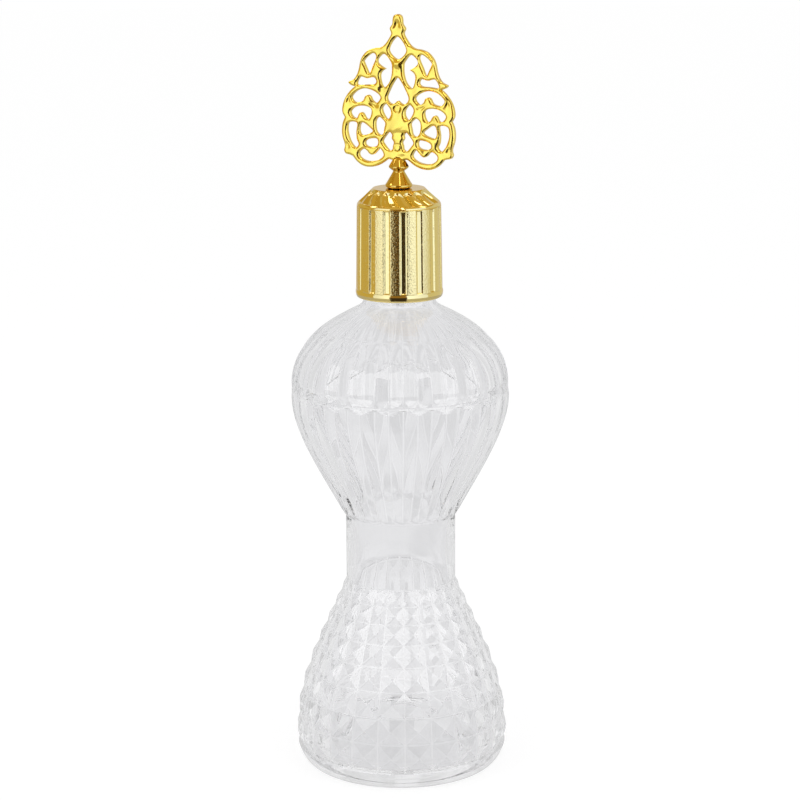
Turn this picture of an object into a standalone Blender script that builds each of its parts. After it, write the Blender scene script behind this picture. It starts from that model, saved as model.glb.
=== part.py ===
"""Pressed glass cologne bottle with a gold screw cap and a pierced finial.

Run with: blender --background --python part.py
Every size below is in millimetres and every angle in degrees. The bottle stands
on Z = 0 with its axis on Z, and its mould seam faces -Y.
"""
from math import atan2, cos, hypot, pi, radians, sin

import bmesh
import bpy
from mathutils import Vector
from mathutils.geometry import tessellate_polygon

MM = 0.001

# Clearances between pieces that fit together
FIT_GAP = 0.3             # round pieces, radially
SEAT_GAP = 0.2            # flat faces that rest on each other

# Glass body, outside
FACETS = 24               # studs, grooves and flutes all share this count
FOOT_RADIUS = 29.5
FOOT_BAND = 3.0           # width of the flat ring that the bottle stands on
PUNT_DEPTH = 1.4          # hollow under the base
BELLY_RADIUS = 35.6
BELLY_HEIGHT = 11.5
STUD_START = 7.4          # lowest edge of the diamond studs
STUD_ROWS = 8
STUD_DEPTH = 0.11         # valley depth as a share of the facet width
WAIST_RADIUS = 18.2
WAIST_BOTTOM = 64.0
WAIST_TOP = 86.4
WAIST_LEDGE = 1.1         # step out from the waist to the bulb
WAIST_LEDGE_HEIGHT = 0.9
SKIRT_FLARE = 0.43        # slope of the skirt where it leaves the waist
BULB_FLARE = 0.53         # slope of the bulb where it leaves the waist
BULB_RADIUS = 36.0
BULB_HEIGHT = 127.0       # widest ring of the bulb
EQUATOR_HEIGHT = 129.8    # seam line between bulb and dome
EQUATOR_STEP = 0.25       # how far the seam line lies inside the widest ring
GROOVE_DEPTH = 0.034      # V groove depth as a share of the local radius
FLUTE_DEPTH = 0.95        # concave flutes of the dome
FLUTE_FADE = 0.25         # what is left of the flutes above their arches
FLUTE_ARCH_RADIUS = 26.0  # ring where the flutes end in arches
FLUTE_START = 0.09        # share of the dome over which the flutes begin
DOME_HEIGHT = 156.8       # where the dome meets the neck
DOME_TOP_SLOPE = 0.46
NECK_RADIUS = 11.9
NECK_LEDGE_HEIGHT = 160.6
FINISH_RADIUS = 10.0      # root of the screw thread
NECK_TOP = 176.0
NECK_EASE = 0.6           # chamfer of the lip and of the bore's edge

# Glass body, inside
WALL = 3.0
BASE_THICKNESS = 6.4
FLOOR_DOME = 1.0          # how far the cavity's floor rises in the middle
NECK_BORE = 6.5

# Rings of points that draw the curved outlines
HEEL_RINGS = 6
BULB_RINGS = 6
DOME_RINGS = 7

# Curve handles of the glass outline, as lengths
SKIRT_HANDLE = 18.0
BULB_HANDLE = 12.0
DOME_HANDLE = 13.0
DOME_TOP_HANDLE = 15.0

# Dripper plug, pressed into the neck
PLUG_FLANGE_RADIUS = 8.4
PLUG_FLANGE_THICKNESS = 1.0
PLUG_DEPTH = 9.0
PLUG_WALL = 1.2
PLUG_WEB = 1.0
PLUG_DISH = 1.4           # how far the web lies under the flange
ORIFICE_RADIUS = 1.0
SPOUT_RADIUS = 1.8

# Sealing disc and threaded insert of the cap
LINER_THICKNESS = 1.2
INSERT_WALL = 1.05
INSERT_TOP = 1.4
SKIRT_CLEARANCE = 0.6     # from the neck ledge up to the insert

# Outer shell of the cap
CAP_RIM_HEIGHT = 159.7
CAP_RIM_BAND = 2.3
CAP_RIM_RADIUS = 14.3
CAP_WALL_BOTTOM_RADIUS = 14.1
CAP_WALL_TOP_RADIUS = 13.7
CAP_SHOULDER_HEIGHT = 190.1
CAP_TOP_HEIGHT = 195.1
CAP_DISC_RADIUS = 8.5
CAP_BORE = 12.65
CAP_CEILING = 1.5
CAP_PANELS = 16
STRIP_ANGLE = 10.6        # width of a sunk strip with its bevels
STRIP_EDGE_ANGLE = 2.7    # width of each bevel
STRIP_DEPTH = 0.35
STRIP_END = 0.4           # height of the bevels at the strips' ends
STRIP_END_GAP = 0.5       # plain wall left above and below each strip
SHOULDER_FLUTES = 18
SHOULDER_FLUTE_DEPTH = 0.45
SHOULDER_TWIST = 12.0     # lean of the flutes, all of it near their feet
SHOULDER_COLUMNS = 72     # points round the shoulder, a multiple of its flutes
SHOULDER_BEND = 0.85      # width of the plain bend under the flutes
FIRST_FLUTE_ANGLE = 9.35  # ridge between two flutes, at the disc
CAP_STOP_ANGLE = -24.75   # the cap's turn on the bottle when it is done up
FIRST_STRIP_ANGLE = 6.1   # first strip beside the finial's front

# Finial: screw, washer, turned stem and pierced ornament
SCREW_RADIUS = 1.0
SCREW_HEAD_RADIUS = 2.2
SCREW_HEAD_THICKNESS = 1.4
SCREW_REACH = 3.2         # into the stem
WASHER_RADIUS = 3.4
WASHER_THICKNESS = 0.5
STEM_FOOT_RADIUS = 4.4
STEM_FOOT_LIP = 0.5       # top of the foot's lip, from the washer's top
STEM_FOOT_RIM = 0.6       # the rim reaches this far down round the washer
STEM_FOOT_EASE = 0.3      # chamfer under the rim
STEM_NECK_RADIUS = 1.9
STEM_NECK_RISE = 4.4      # from the washer's top
BELL_RADIUS = 3.25
BELL_RISE = 6.1           # widest ring of the bell
STEM_HEIGHT = 9.3
BELL_TIP_RADIUS = 1.9
BELL_TIP_RISE = 0.9       # height of the rounded tip
PLATE_THICKNESS = 2.4
PLATE_EDGE = 1.4          # thickness left at the pillowed edges
PILLOW_INSET = 0.35
TANG_THICKNESS = 1.2      # the plate is thinned where the bell holds it
TANG_HALF_WIDTH = 1.8
TANG_DEPTH = 2.9          # of the tang in the bell's slot
CURVE_PIECE = 2.1         # a stretch of outline longer than this takes two pieces

# Outline of the pierced ornament: (out from the centre line, up from the stem's
# top). A third value of 1 marks a sharp point. One half is drawn, from the tip
# down the outer edge to the tang, and the other half mirrors it.
ORNAMENT_EDGE = [
    (0.0, 45.7), (1.2, 45.2), (1.6, 43.9), (1.7, 42.6), (2.6, 41.1), (2.1, 39.5),
    (3.1, 37.6), (4.4, 35.9), (6.1, 34.9), (8.3, 34.6), (10.5, 33.7), (12.3, 31.8),
    (13.1, 29.9), (13.5, 28.0), (14.2, 26.0), (15.4, 24.4), (17.2, 23.5), (16.5, 22.6),
    (14.9, 22.1, 1), (16.1, 21.2), (17.7, 19.4), (18.9, 17.3), (19.5, 15.0), (19.4, 13.4),
    (18.6, 12.0, 1), (19.4, 10.1), (19.7, 7.8), (19.5, 5.6), (18.8, 3.5), (18.6, 2.2),
    (18.9, 1.0), (17.3, 0.1), (15.9, -0.5, 1), (14.4, -2.2), (12.5, -3.4), (10.3, -3.8),
    (7.6, -3.4), (5.5, -2.4), (3.7, -1.1), (2.9, -0.9),
]

# Openings on the centre line: the right half of each, from its top to its foot
CENTRE_OPENINGS = [
    [(0.0, 38.6), (3.1, 34.3), (0.0, 31.3)],
    [(0.0, 25.5), (1.4, 24.0), (2.8, 21.5), (3.8, 19.1), (3.3, 17.6), (2.0, 16.9),
     (0.9, 17.3), (0.0, 18.0)],
]

# Openings of the right half, which the left half mirrors
SIDE_OPENINGS = [
    [(4.5, 32.9), (2.3, 30.5), (1.9, 28.6), (2.1, 26.1), (3.0, 23.7), (4.7, 22.1),
     (5.7, 23.2), (6.2, 25.7), (5.7, 27.1), (4.3, 28.1, 1), (6.2, 29.2), (7.1, 30.3),
     (6.5, 31.8)],
    [(8.5, 33.1), (10.7, 31.8), (12.0, 30.3, 1), (11.0, 28.1), (9.9, 26.3), (8.7, 28.7),
     (7.4, 31.9)],
    [(8.3, 25.3), (10.6, 24.9), (13.1, 25.3), (14.3, 22.7), (10.9, 22.8), (8.3, 23.0),
     (7.4, 24.0)],
    [(6.0, 18.9), (7.7, 20.6), (10.9, 21.6), (13.9, 20.9), (16.1, 19.0), (16.0, 17.8),
     (14.7, 16.9), (12.2, 17.4), (10.3, 19.4), (8.8, 17.6), (7.4, 17.0)],
    [(9.4, 15.2), (12.0, 16.0), (15.0, 15.4), (16.7, 13.8), (15.9, 12.2), (14.4, 11.8),
     (12.9, 13.7, 1), (11.4, 12.1), (10.2, 11.6), (9.3, 13.2)],
    [(4.2, 16.9), (5.5, 15.6), (5.2, 13.8), (3.7, 11.9), (2.5, 13.1), (2.4, 14.7),
     (3.2, 16.1)],
    [(14.4, 10.4), (17.3, 10.3), (17.9, 8.0), (17.5, 5.8), (16.5, 3.6), (15.0, 2.2),
     (13.8, 3.4), (14.4, 5.0), (14.6, 7.3)],
    [(12.0, 10.5), (13.2, 10.1), (13.6, 7.9), (12.8, 6.4), (10.6, 6.8), (8.8, 7.9),
     (10.0, 9.2)],
    [(6.5, 12.6), (7.7, 11.6), (8.0, 9.8), (7.5, 7.6), (6.2, 6.7), (5.1, 7.3),
     (4.7, 9.0), (4.4, 10.7), (5.3, 11.9)],
    [(3.0, 7.9), (2.0, 7.0), (2.1, 5.8), (1.1, 4.5), (1.7, 2.4), (3.1, 1.8),
     (4.8, 3.6), (5.4, 4.8), (4.4, 6.4)],
    [(7.6, 5.6), (10.1, 5.3), (11.5, 4.4), (11.4, 3.2), (9.8, 2.6), (7.5, 3.1),
     (6.9, 4.5)],
    [(6.2, 2.4), (7.3, 1.4), (9.1, 0.2), (10.8, 1.3), (12.1, 2.0), (13.7, 0.8),
     (13.5, -0.7), (11.7, -1.8), (9.3, -2.0), (6.5, -1.2), (5.0, 0.4)],
]

# Colours as (red, green, blue)
GLASS = (0.92, 0.94, 0.95)
CAP_GOLD = (0.83, 0.60, 0.18)
FINIAL_GOLD = (0.92, 0.70, 0.16)
WHITE_PLASTIC = (0.88, 0.88, 0.86)
FOAM = (0.93, 0.92, 0.88)
STEEL = (0.62, 0.62, 0.64)
DARK_RUBBER = (0.05, 0.04, 0.04)


def clear_scene():
    """Removes what a new file starts with."""
    for item in list(bpy.data.objects):
        bpy.data.objects.remove(item, do_unlink=True)


def material(name, colour, roughness, metallic, transmission=0.0):
    """A Principled material with the part's colour and finish."""
    finish = bpy.data.materials.new(name)
    finish.use_nodes = True
    shader = finish.node_tree.nodes["Principled BSDF"]
    shader.inputs["Base Color"].default_value = (*colour, 1.0)
    shader.inputs["Roughness"].default_value = roughness
    shader.inputs["Metallic"].default_value = metallic
    shader.inputs["Transmission Weight"].default_value = transmission
    finish.diffuse_color = (*colour, 1.0)
    return finish


def add_object(name, points, faces, finish, parent=None, crease=35.0):
    """Makes a named object from points in millimetres and their faces."""
    shape = bmesh.new()
    verts = [shape.verts.new([value * MM for value in point]) for point in points]
    for face in faces:
        shape.faces.new([verts[index] for index in face])
    bmesh.ops.triangulate(shape, faces=shape.faces[:])
    bmesh.ops.recalc_face_normals(shape, faces=shape.faces[:])
    mesh = bpy.data.meshes.new(name)
    shape.to_mesh(mesh)
    shape.free()
    mesh.shade_smooth()
    mesh.set_sharp_from_angle(angle=radians(crease))
    mesh.materials.append(finish)
    item = bpy.data.objects.new(name, mesh)
    bpy.context.collection.objects.link(item)
    if parent is not None:
        item.parent = parent
    return item


def add_frame(name, height, turn, parent=None):
    """An empty that carries the pieces of one moving group."""
    empty = bpy.data.objects.new(name, None)
    empty.empty_display_size = 0.01
    empty.location = (0.0, 0.0, height * MM)
    empty.rotation_euler = (0.0, 0.0, radians(turn))
    bpy.context.collection.objects.link(empty)
    if parent is not None:
        empty.parent = parent
    return empty


def bezier(start, first, second, end, steps):
    """Points of a cubic curve, its start left out and its end kept."""
    points = []
    for step in range(1, steps + 1):
        t = step / steps
        weights = ((1 - t) ** 3, 3 * t * (1 - t) ** 2, 3 * t * t * (1 - t), t ** 3)
        points.append(tuple(sum(w * p[axis] for w, p in zip(weights, (start, first, second, end)))
                            for axis in (0, 1)))
    return points


def on_curve(points, height):
    """Radius at a height, on a polyline of (radius, height) that only rises."""
    for (r0, z0), (r1, z1) in zip(points, points[1:]):
        if z0 <= height <= z1:
            return r0 + (r1 - r0) * (height - z0) / (z1 - z0)
    return points[0][0] if height < points[0][1] else points[-1][0]


class Shell:
    """Collects rings of points round the Z axis and joins them into one skin."""

    def __init__(self):
        self.points = []
        self.faces = []

    def ring(self, radii, height, count=None, turn=0.0):
        """Adds a ring. radii is one radius or one for each point; turn 0 is -Y."""
        if count is None:
            count = len(radii)
        first = len(self.points)
        for index in range(count):
            radius = radii[index] if hasattr(radii, "__len__") else radii
            angle = radians(turn) + 2 * pi * index / count
            self.points.append((radius * sin(angle), -radius * cos(angle), height))
        return list(range(first, first + count))

    def ring_at(self, radii, angles, height):
        """Adds a ring whose points stand at their own angles, in degrees."""
        first = len(self.points)
        for radius, angle in zip(radii, angles):
            turn = radians(angle)
            self.points.append((radius * sin(turn), -radius * cos(turn), height))
        return list(range(first, first + len(angles)))

    def apex(self, radius, turn, height):
        angle = radians(turn)
        self.points.append((radius * sin(angle), -radius * cos(angle), height))
        return len(self.points) - 1

    def join(self, low, high):
        """Joins two rings; one may have a whole multiple of the other's points."""
        if len(low) > len(high):
            low, high = high, low
        count = len(low)
        step = len(high) // count
        for index in range(count):
            here = low[index]
            after = low[(index + 1) % count]
            run = [high[(index * step + k) % len(high)] for k in range(step + 1)]
            middle = step // 2
            if step == 1:
                self.faces.append((here, after, run[1], run[0]))
                continue
            for k in range(step):
                anchor = here if k < middle else after
                self.faces.append((anchor, run[k + 1], run[k]))
            self.faces.append((here, after, run[middle]))

    def join_all(self, rings):
        for low, high in zip(rings, rings[1:]):
            self.join(low, high)

    def join_free(self, low, high):
        """Joins two rings whose counts of points have nothing in common."""
        def turn(index):
            x, y, _ = self.points[index]
            return atan2(x, -y) % (2 * pi)

        low, high = (sorted(ring, key=turn) for ring in (low, high))
        at_low = at_high = 0
        while at_low < len(low) or at_high < len(high):
            here, across = low[at_low % len(low)], high[at_high % len(high)]
            next_low = turn(low[(at_low + 1) % len(low)]) + 2 * pi * ((at_low + 1) // len(low))
            next_high = turn(high[(at_high + 1) % len(high)]) + 2 * pi * ((at_high + 1) // len(high))
            if at_high == len(high) or (at_low < len(low) and next_low <= next_high):
                at_low += 1
                self.faces.append((here, low[at_low % len(low)], across))
            else:
                at_high += 1
                self.faces.append((here, high[at_high % len(high)], across))

    def close(self, ring, height):
        """Closes a ring with a fan round a point on the axis."""
        centre = self.apex(0.0, 0.0, height)
        for index, here in enumerate(ring):
            self.faces.append((here, ring[(index + 1) % len(ring)], centre))


def revolve(profile, count):
    """Turns a profile of (radius, height) into a closed body of points and faces.

    A profile that starts or ends on the axis is closed there; one that does not
    touch the axis is a ring and closes on itself.
    """
    shell = Shell()
    rings = [shell.ring(r, z, count) for r, z in profile if r > 0]
    shell.join_all(rings)
    if profile[0][0] == 0:
        shell.close(rings[0], profile[0][1])
    if profile[-1][0] == 0:
        shell.close(rings[-1], profile[-1][1])
    if profile[0][0] > 0 and profile[-1][0] > 0:
        shell.join(rings[-1], rings[0])
    return shell


# Outline of the glass

def heel_curve(steps):
    """From the foot ring round the heel up to the belly, as a quarter ellipse."""
    points = []
    for step in range(steps + 1):
        angle = 0.5 * pi * step / steps
        points.append((FOOT_RADIUS + (BELLY_RADIUS - FOOT_RADIUS) * sin(angle),
                       BELLY_HEIGHT * (1 - cos(angle))))
    return points


def skirt_curve(steps):
    """From the belly up to the waist."""
    belly = (BELLY_RADIUS, BELLY_HEIGHT)
    above_belly = (BELLY_RADIUS, BELLY_HEIGHT + SKIRT_HANDLE)
    below_waist = (WAIST_RADIUS + SKIRT_FLARE * SKIRT_HANDLE, WAIST_BOTTOM - SKIRT_HANDLE)
    waist = (WAIST_RADIUS, WAIST_BOTTOM)
    return [belly] + bezier(belly, above_belly, below_waist, waist, steps)


def bulb_curve(steps):
    """From the ledge over the waist up to the widest ring of the bulb."""
    start = (WAIST_RADIUS + WAIST_LEDGE, WAIST_TOP + WAIST_LEDGE_HEIGHT)
    leave = (start[0] + BULB_FLARE * BULB_HANDLE, start[1] + BULB_HANDLE)
    arrive = (BULB_RADIUS, BULB_HEIGHT - BULB_HANDLE)
    return [start] + bezier(start, leave, arrive, (BULB_RADIUS, BULB_HEIGHT), steps)


def dome_curve(steps):
    """From the seam line at the equator up to the neck."""
    start = (BULB_RADIUS - EQUATOR_STEP, EQUATOR_HEIGHT)
    leave = (start[0], EQUATOR_HEIGHT + DOME_HANDLE)
    end = (NECK_RADIUS, DOME_HEIGHT)
    arrive = (NECK_RADIUS + DOME_TOP_HANDLE, DOME_HEIGHT - DOME_TOP_SLOPE * DOME_TOP_HANDLE)
    return [start] + bezier(start, leave, arrive, end, steps)


def stud_heights(outline):
    """Row lines of the studs, top to bottom, spaced so that each facet is square."""
    span = WAIST_BOTTOM - STUD_START
    stretch = 1.0
    for _ in range(20):
        heights = [WAIST_BOTTOM]
        for _row in range(STUD_ROWS):
            width = 2 * pi * on_curve(outline, heights[-1]) / FACETS
            middle = heights[-1] - 0.5 * width * stretch
            width = 2 * pi * on_curve(outline, middle) / FACETS
            heights.append(heights[-1] - width * stretch)
        stretch *= span / (heights[0] - heights[-1])
    return heights


def add_studs(shell, outline, bottom_ring):
    """Square pyramids in rows, from the heel ring up to the waist."""
    heights = stud_heights(outline)[::-1]
    pitch = 360.0 / FACETS
    rows = []
    for height in heights:
        radius = on_curve(outline, height)
        valley = STUD_DEPTH * 2 * pi * radius / FACETS
        if height == heights[-1]:
            valley = 0.0
        rows.append(shell.ring(radius - valley, height, FACETS))
    shell.join(bottom_ring, rows[0])
    for low, high, z0, z1 in zip(rows, rows[1:], heights, heights[1:]):
        middle = 0.5 * (z0 + z1)
        radius = on_curve(outline, middle)
        for k in range(FACETS):
            after = (k + 1) % FACETS
            tip = shell.apex(radius, (k + 0.5) * pitch, middle)
            corners = (low[k], low[after], high[after], high[k])
            for a, b in zip(corners, corners[1:] + corners[:1]):
                shell.faces.append((a, b, tip))
    return rows[-1]


def groove_ring(shell, radius, height, share=1.0):
    """Ring of V grooves: a crease on each seam line and a ridge halfway between."""
    depth = GROOVE_DEPTH * radius * share
    radii = [radius - depth if k % 2 == 0 else radius for k in range(2 * FACETS)]
    return shell.ring(radii, height)


def flute_ring(shell, radius, height, depth):
    """Ring of concave flutes: a thin ridge on each seam line."""
    radii = []
    for _k in range(FACETS):
        for part in range(4):
            bow = 1 - (2 * part / 4 - 1) ** 2
            radii.append(radius - depth * bow)
    return shell.ring(radii, height)


def flute_depth(radius, share):
    """Depth of the flutes: soft at the equator, and faint above their arches."""
    if share < FLUTE_START:
        return FLUTE_DEPTH * share / FLUTE_START * 0.5
    if radius > FLUTE_ARCH_RADIUS:
        return FLUTE_DEPTH
    fall = (FLUTE_ARCH_RADIUS - radius) / (FLUTE_ARCH_RADIUS - NECK_RADIUS)
    return FLUTE_DEPTH * FLUTE_FADE * (1 - fall)


def inner_profile():
    """Cavity from the floor's centre up to the mouth, one wall inside the glass."""
    outer = skirt_curve(4)[1:] + [(WAIST_RADIUS, WAIST_TOP)] + bulb_curve(4) + dome_curve(5)
    inner = [(0.0, BASE_THICKNESS + FLOOR_DOME),
             (0.55 * BELLY_RADIUS, BASE_THICKNESS + 0.5 * FLOOR_DOME),
             (BELLY_RADIUS - 2.4 * WALL, BASE_THICKNESS)]
    inner.append((BELLY_RADIUS - 1.35 * WALL, BASE_THICKNESS + 0.8 * WALL))
    inner.append((BELLY_RADIUS - WALL, BASE_THICKNESS + 2.6 * WALL))
    for before, here, after in zip(outer, outer[1:], outer[2:]):
        run = (after[0] - before[0], after[1] - before[1])
        size = hypot(*run)
        point = (here[0] - WALL * run[1] / size, here[1] + WALL * run[0] / size)
        if point[0] > NECK_BORE + 0.8 and point[1] > inner[-1][1] + 1.0:
            inner.append(point)
    inner.append((NECK_BORE, inner[-1][1] + 0.6 * WALL))
    inner.append((NECK_BORE, NECK_TOP - NECK_EASE))
    inner.append((NECK_BORE + NECK_EASE, NECK_TOP))
    return inner


def make_glass_bottle():
    shell = Shell()
    count = 2 * FACETS
    punt_edge = FOOT_RADIUS - FOOT_BAND
    punt = shell.ring(punt_edge - PUNT_DEPTH, PUNT_DEPTH, count)
    shell.close(punt, PUNT_DEPTH)
    rings = [punt, shell.ring(punt_edge, 0.0, count)]
    heel = heel_curve(HEEL_RINGS)
    rings += [shell.ring(r, z, count) for r, z in heel if z < 0.8 * STUD_START]
    shell.join_all(rings)

    outline = heel + skirt_curve(16)[1:]
    stud_top = add_studs(shell, outline, rings[-1])
    waist = [stud_top, shell.ring(WAIST_RADIUS, WAIST_BOTTOM + 1.5, count),
             shell.ring(WAIST_RADIUS, WAIST_TOP, count)]
    shell.join_all(waist)

    bulb = [groove_ring(shell, r, z) for r, z in bulb_curve(BULB_RINGS)]
    equator_radius = BULB_RADIUS - EQUATOR_STEP
    equator = shell.ring(equator_radius, EQUATOR_HEIGHT, count)
    shell.join_all([waist[-1]] + bulb + [equator])

    dome_points = dome_curve(DOME_RINGS)
    dome = []
    for step, (r, z) in enumerate(dome_points[1:-1], start=1):
        dome.append(flute_ring(shell, r, z, flute_depth(r, step / DOME_RINGS)))
    lip = flute_ring(shell, equator_radius - 0.1, EQUATOR_HEIGHT + 0.9, FLUTE_DEPTH * 0.3)
    shell.join_all([equator, lip] + dome)

    neck_profile = [dome_points[-1], (NECK_RADIUS - 0.3, DOME_HEIGHT + 1.0),
                    (NECK_RADIUS - 0.3, NECK_LEDGE_HEIGHT - 0.4),
                    (NECK_RADIUS - 0.7, NECK_LEDGE_HEIGHT), (FINISH_RADIUS, NECK_LEDGE_HEIGHT),
                    (FINISH_RADIUS, NECK_TOP - NECK_EASE), (FINISH_RADIUS - NECK_EASE, NECK_TOP)]
    neck = [shell.ring(r, z, count) for r, z in neck_profile]
    shell.join(dome[-1], neck[0])
    shell.join_all(neck)

    profile = inner_profile()
    cavity = [shell.ring(r, z, count) for r, z in profile if r > 0]
    shell.close(cavity[0], profile[0][1])
    shell.join_all(cavity)
    shell.join(cavity[-1], neck[-1])
    finish = material("clear_glass", GLASS, 0.02, 0.0, transmission=1.0)
    add_object("glass_bottle", shell.points, shell.faces, finish, crease=12.0)


# Heights worked out from the neck upwards

PLUG_SEAT = NECK_TOP + SEAT_GAP
PLUG_TOP = PLUG_SEAT + PLUG_FLANGE_THICKNESS
LINER_SEAT = PLUG_TOP + SEAT_GAP
LINER_TOP = LINER_SEAT + LINER_THICKNESS
INSERT_CEILING = LINER_TOP + SEAT_GAP
INSERT_BORE = CAP_BORE - FIT_GAP - INSERT_WALL
WASHER_SEAT = CAP_TOP_HEIGHT + SEAT_GAP
STEM_SEAT = WASHER_SEAT + WASHER_THICKNESS + SEAT_GAP
SCREW_HOLE_RADIUS = SCREW_RADIUS + FIT_GAP
STEM_TOP = STEM_SEAT + STEM_HEIGHT


def make_dripper_plug(parent):
    """Soft plug with a pouring orifice; its flange rests on the glass lip."""
    skirt = NECK_BORE - FIT_GAP
    hollow = skirt - PLUG_WALL
    web_top = PLUG_TOP - PLUG_DISH
    web_bottom = web_top - PLUG_WEB
    foot = PLUG_SEAT - PLUG_DEPTH
    profile = [(skirt - 0.4, foot), (skirt, foot + 1.0), (skirt, PLUG_SEAT),
               (PLUG_FLANGE_RADIUS, PLUG_SEAT), (PLUG_FLANGE_RADIUS, PLUG_TOP),
               (hollow + 0.2, PLUG_TOP), (hollow, web_top), (SPOUT_RADIUS + 0.3, web_top),
               (SPOUT_RADIUS, PLUG_TOP - 0.1), (ORIFICE_RADIUS, PLUG_TOP - 0.1),
               (ORIFICE_RADIUS, web_bottom), (hollow, web_bottom), (hollow, foot)]
    shell = revolve(profile, 32)
    finish = material("plug_plastic", WHITE_PLASTIC, 0.45, 0.0)
    add_object("dripper_plug", shell.points, shell.faces, finish, parent)


def make_cap_liner(parent):
    """Foam disc that seals the plug's flange."""
    radius = INSERT_BORE - FIT_GAP
    profile = [(0.0, LINER_SEAT), (radius, LINER_SEAT), (radius, LINER_TOP), (0.0, LINER_TOP)]
    shell = revolve(profile, 48)
    finish = material("liner_foam", FOAM, 0.8, 0.0)
    add_object("cap_liner", shell.points, shell.faces, finish, parent)


def make_cap_inner(parent):
    """Threaded insert, pushed up into the outer shell."""
    outer = CAP_BORE - FIT_GAP
    foot = NECK_LEDGE_HEIGHT + SKIRT_CLEARANCE
    top = INSERT_CEILING + INSERT_TOP
    profile = [(0.0, INSERT_CEILING), (INSERT_BORE, INSERT_CEILING), (INSERT_BORE, foot + 0.4),
               (INSERT_BORE + 0.4, foot), (outer, foot), (outer, top - 0.8),
               (outer - 0.8, top), (0.0, top)]
    shell = revolve(profile, 48)
    finish = material("insert_plastic", WHITE_PLASTIC, 0.4, 0.0)
    add_object("cap_inner", shell.points, shell.faces, finish, parent)


def wall_columns():
    """Angles round the cap wall, and whether each lies on a strip's floor."""
    pitch = 360.0 / CAP_PANELS
    half = 0.5 * STRIP_ANGLE
    panel = pitch - STRIP_ANGLE
    steps = [(-half, False), (-half + STRIP_EDGE_ANGLE, True), (half - STRIP_EDGE_ANGLE, True),
             (half, False), (half + panel / 3, False), (half + 2 * panel / 3, False)]
    angles = []
    sunk = []
    for k in range(CAP_PANELS):
        for offset, low in steps:
            angles.append(FIRST_STRIP_ANGLE + k * pitch + offset)
            sunk.append(low)
    return angles, sunk


def wall_ring(shell, radius, height, depth=0.0):
    angles, sunk = wall_columns()
    radii = [radius - depth if low else radius for low in sunk]
    return shell.ring_at(radii, angles, height)


def shoulder_ring(shell, share, fluted=True):
    """Ring of the shoulder; its flutes lean near the wall and stand upright near the disc."""
    foot = CAP_WALL_TOP_RADIUS - SHOULDER_BEND
    radius = foot + (CAP_DISC_RADIUS - foot) * share
    height = CAP_SHOULDER_HEIGHT + SHOULDER_BEND
    height += (CAP_TOP_HEIGHT - height) * share
    turn = FIRST_FLUTE_ANGLE + SHOULDER_TWIST * (1 - share) ** 1.5
    per_flute = SHOULDER_COLUMNS // SHOULDER_FLUTES
    radii = []
    for k in range(SHOULDER_COLUMNS):
        part = (k % per_flute) / per_flute
        bow = 1 - (2 * part - 1) ** 2
        radii.append(radius - SHOULDER_FLUTE_DEPTH * bow if fluted else radius)
    return shell.ring(radii, height, SHOULDER_COLUMNS, turn)


def make_cap_shell(parent):
    """Gold outer cap: rim band, sixteen panels, twisted shoulder, flat top."""
    shell = Shell()
    band_top = CAP_RIM_HEIGHT + CAP_RIM_BAND
    columns = len(wall_columns()[0])
    slope = (CAP_WALL_TOP_RADIUS - CAP_WALL_BOTTOM_RADIUS) / (CAP_SHOULDER_HEIGHT - band_top)

    def wall_radius(height):
        return CAP_WALL_BOTTOM_RADIUS + slope * (height - band_top)

    strip_low = band_top + STRIP_END_GAP
    strip_high = CAP_SHOULDER_HEIGHT - STRIP_END_GAP
    outside = [shell.ring(CAP_RIM_RADIUS - 0.25, CAP_RIM_HEIGHT, columns // 2, FIRST_STRIP_ANGLE),
               shell.ring(CAP_RIM_RADIUS, CAP_RIM_HEIGHT + 0.3, columns // 2, FIRST_STRIP_ANGLE),
               shell.ring(CAP_RIM_RADIUS, band_top - 0.15, columns // 2, FIRST_STRIP_ANGLE),
               wall_ring(shell, wall_radius(band_top), band_top),
               wall_ring(shell, wall_radius(strip_low), strip_low),
               wall_ring(shell, wall_radius(strip_low), strip_low + STRIP_END, STRIP_DEPTH),
               wall_ring(shell, wall_radius(strip_high), strip_high - STRIP_END, STRIP_DEPTH),
               wall_ring(shell, wall_radius(strip_high), strip_high),
               wall_ring(shell, CAP_WALL_TOP_RADIUS, CAP_SHOULDER_HEIGHT)]
    shell.join_all(outside)
    bend = shell.ring(CAP_WALL_TOP_RADIUS - 0.3 * SHOULDER_BEND,
                      CAP_SHOULDER_HEIGHT + 0.6 * SHOULDER_BEND, SHOULDER_COLUMNS, FIRST_FLUTE_ANGLE)
    shell.join_free(outside[-1], bend)
    shoulder = [bend, shoulder_ring(shell, 0.0, fluted=False)]
    shoulder += [shoulder_ring(shell, share) for share in (0.12, 0.45, 0.8)]
    shoulder.append(shoulder_ring(shell, 0.92, fluted=False))
    shoulder.append(shoulder_ring(shell, 1.0, fluted=False))
    shell.join_all(shoulder)

    few = columns // 4
    ceiling = CAP_TOP_HEIGHT - CAP_CEILING
    shoulder_inside = CAP_SHOULDER_HEIGHT - CAP_CEILING
    disc_inside = CAP_DISC_RADIUS - 0.5 * CAP_CEILING
    turn = FIRST_FLUTE_ANGLE
    inside = [shell.ring(SCREW_HOLE_RADIUS, CAP_TOP_HEIGHT, few, turn),
              shell.ring(SCREW_HOLE_RADIUS, ceiling, few, turn),
              shell.ring(disc_inside, ceiling, 2 * few, turn),
              shell.ring(CAP_BORE, shoulder_inside, 2 * few, FIRST_STRIP_ANGLE),
              shell.ring(CAP_BORE, CAP_RIM_HEIGHT, 2 * few, FIRST_STRIP_ANGLE)]
    shell.join(inside[0], shoulder[-1])
    shell.join_all(inside)
    shell.join(inside[-1], outside[0])
    finish = material("cap_gold", CAP_GOLD, 0.22, 1.0)
    add_object("cap_shell", shell.points, shell.faces, finish, parent, crease=25.0)


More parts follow.
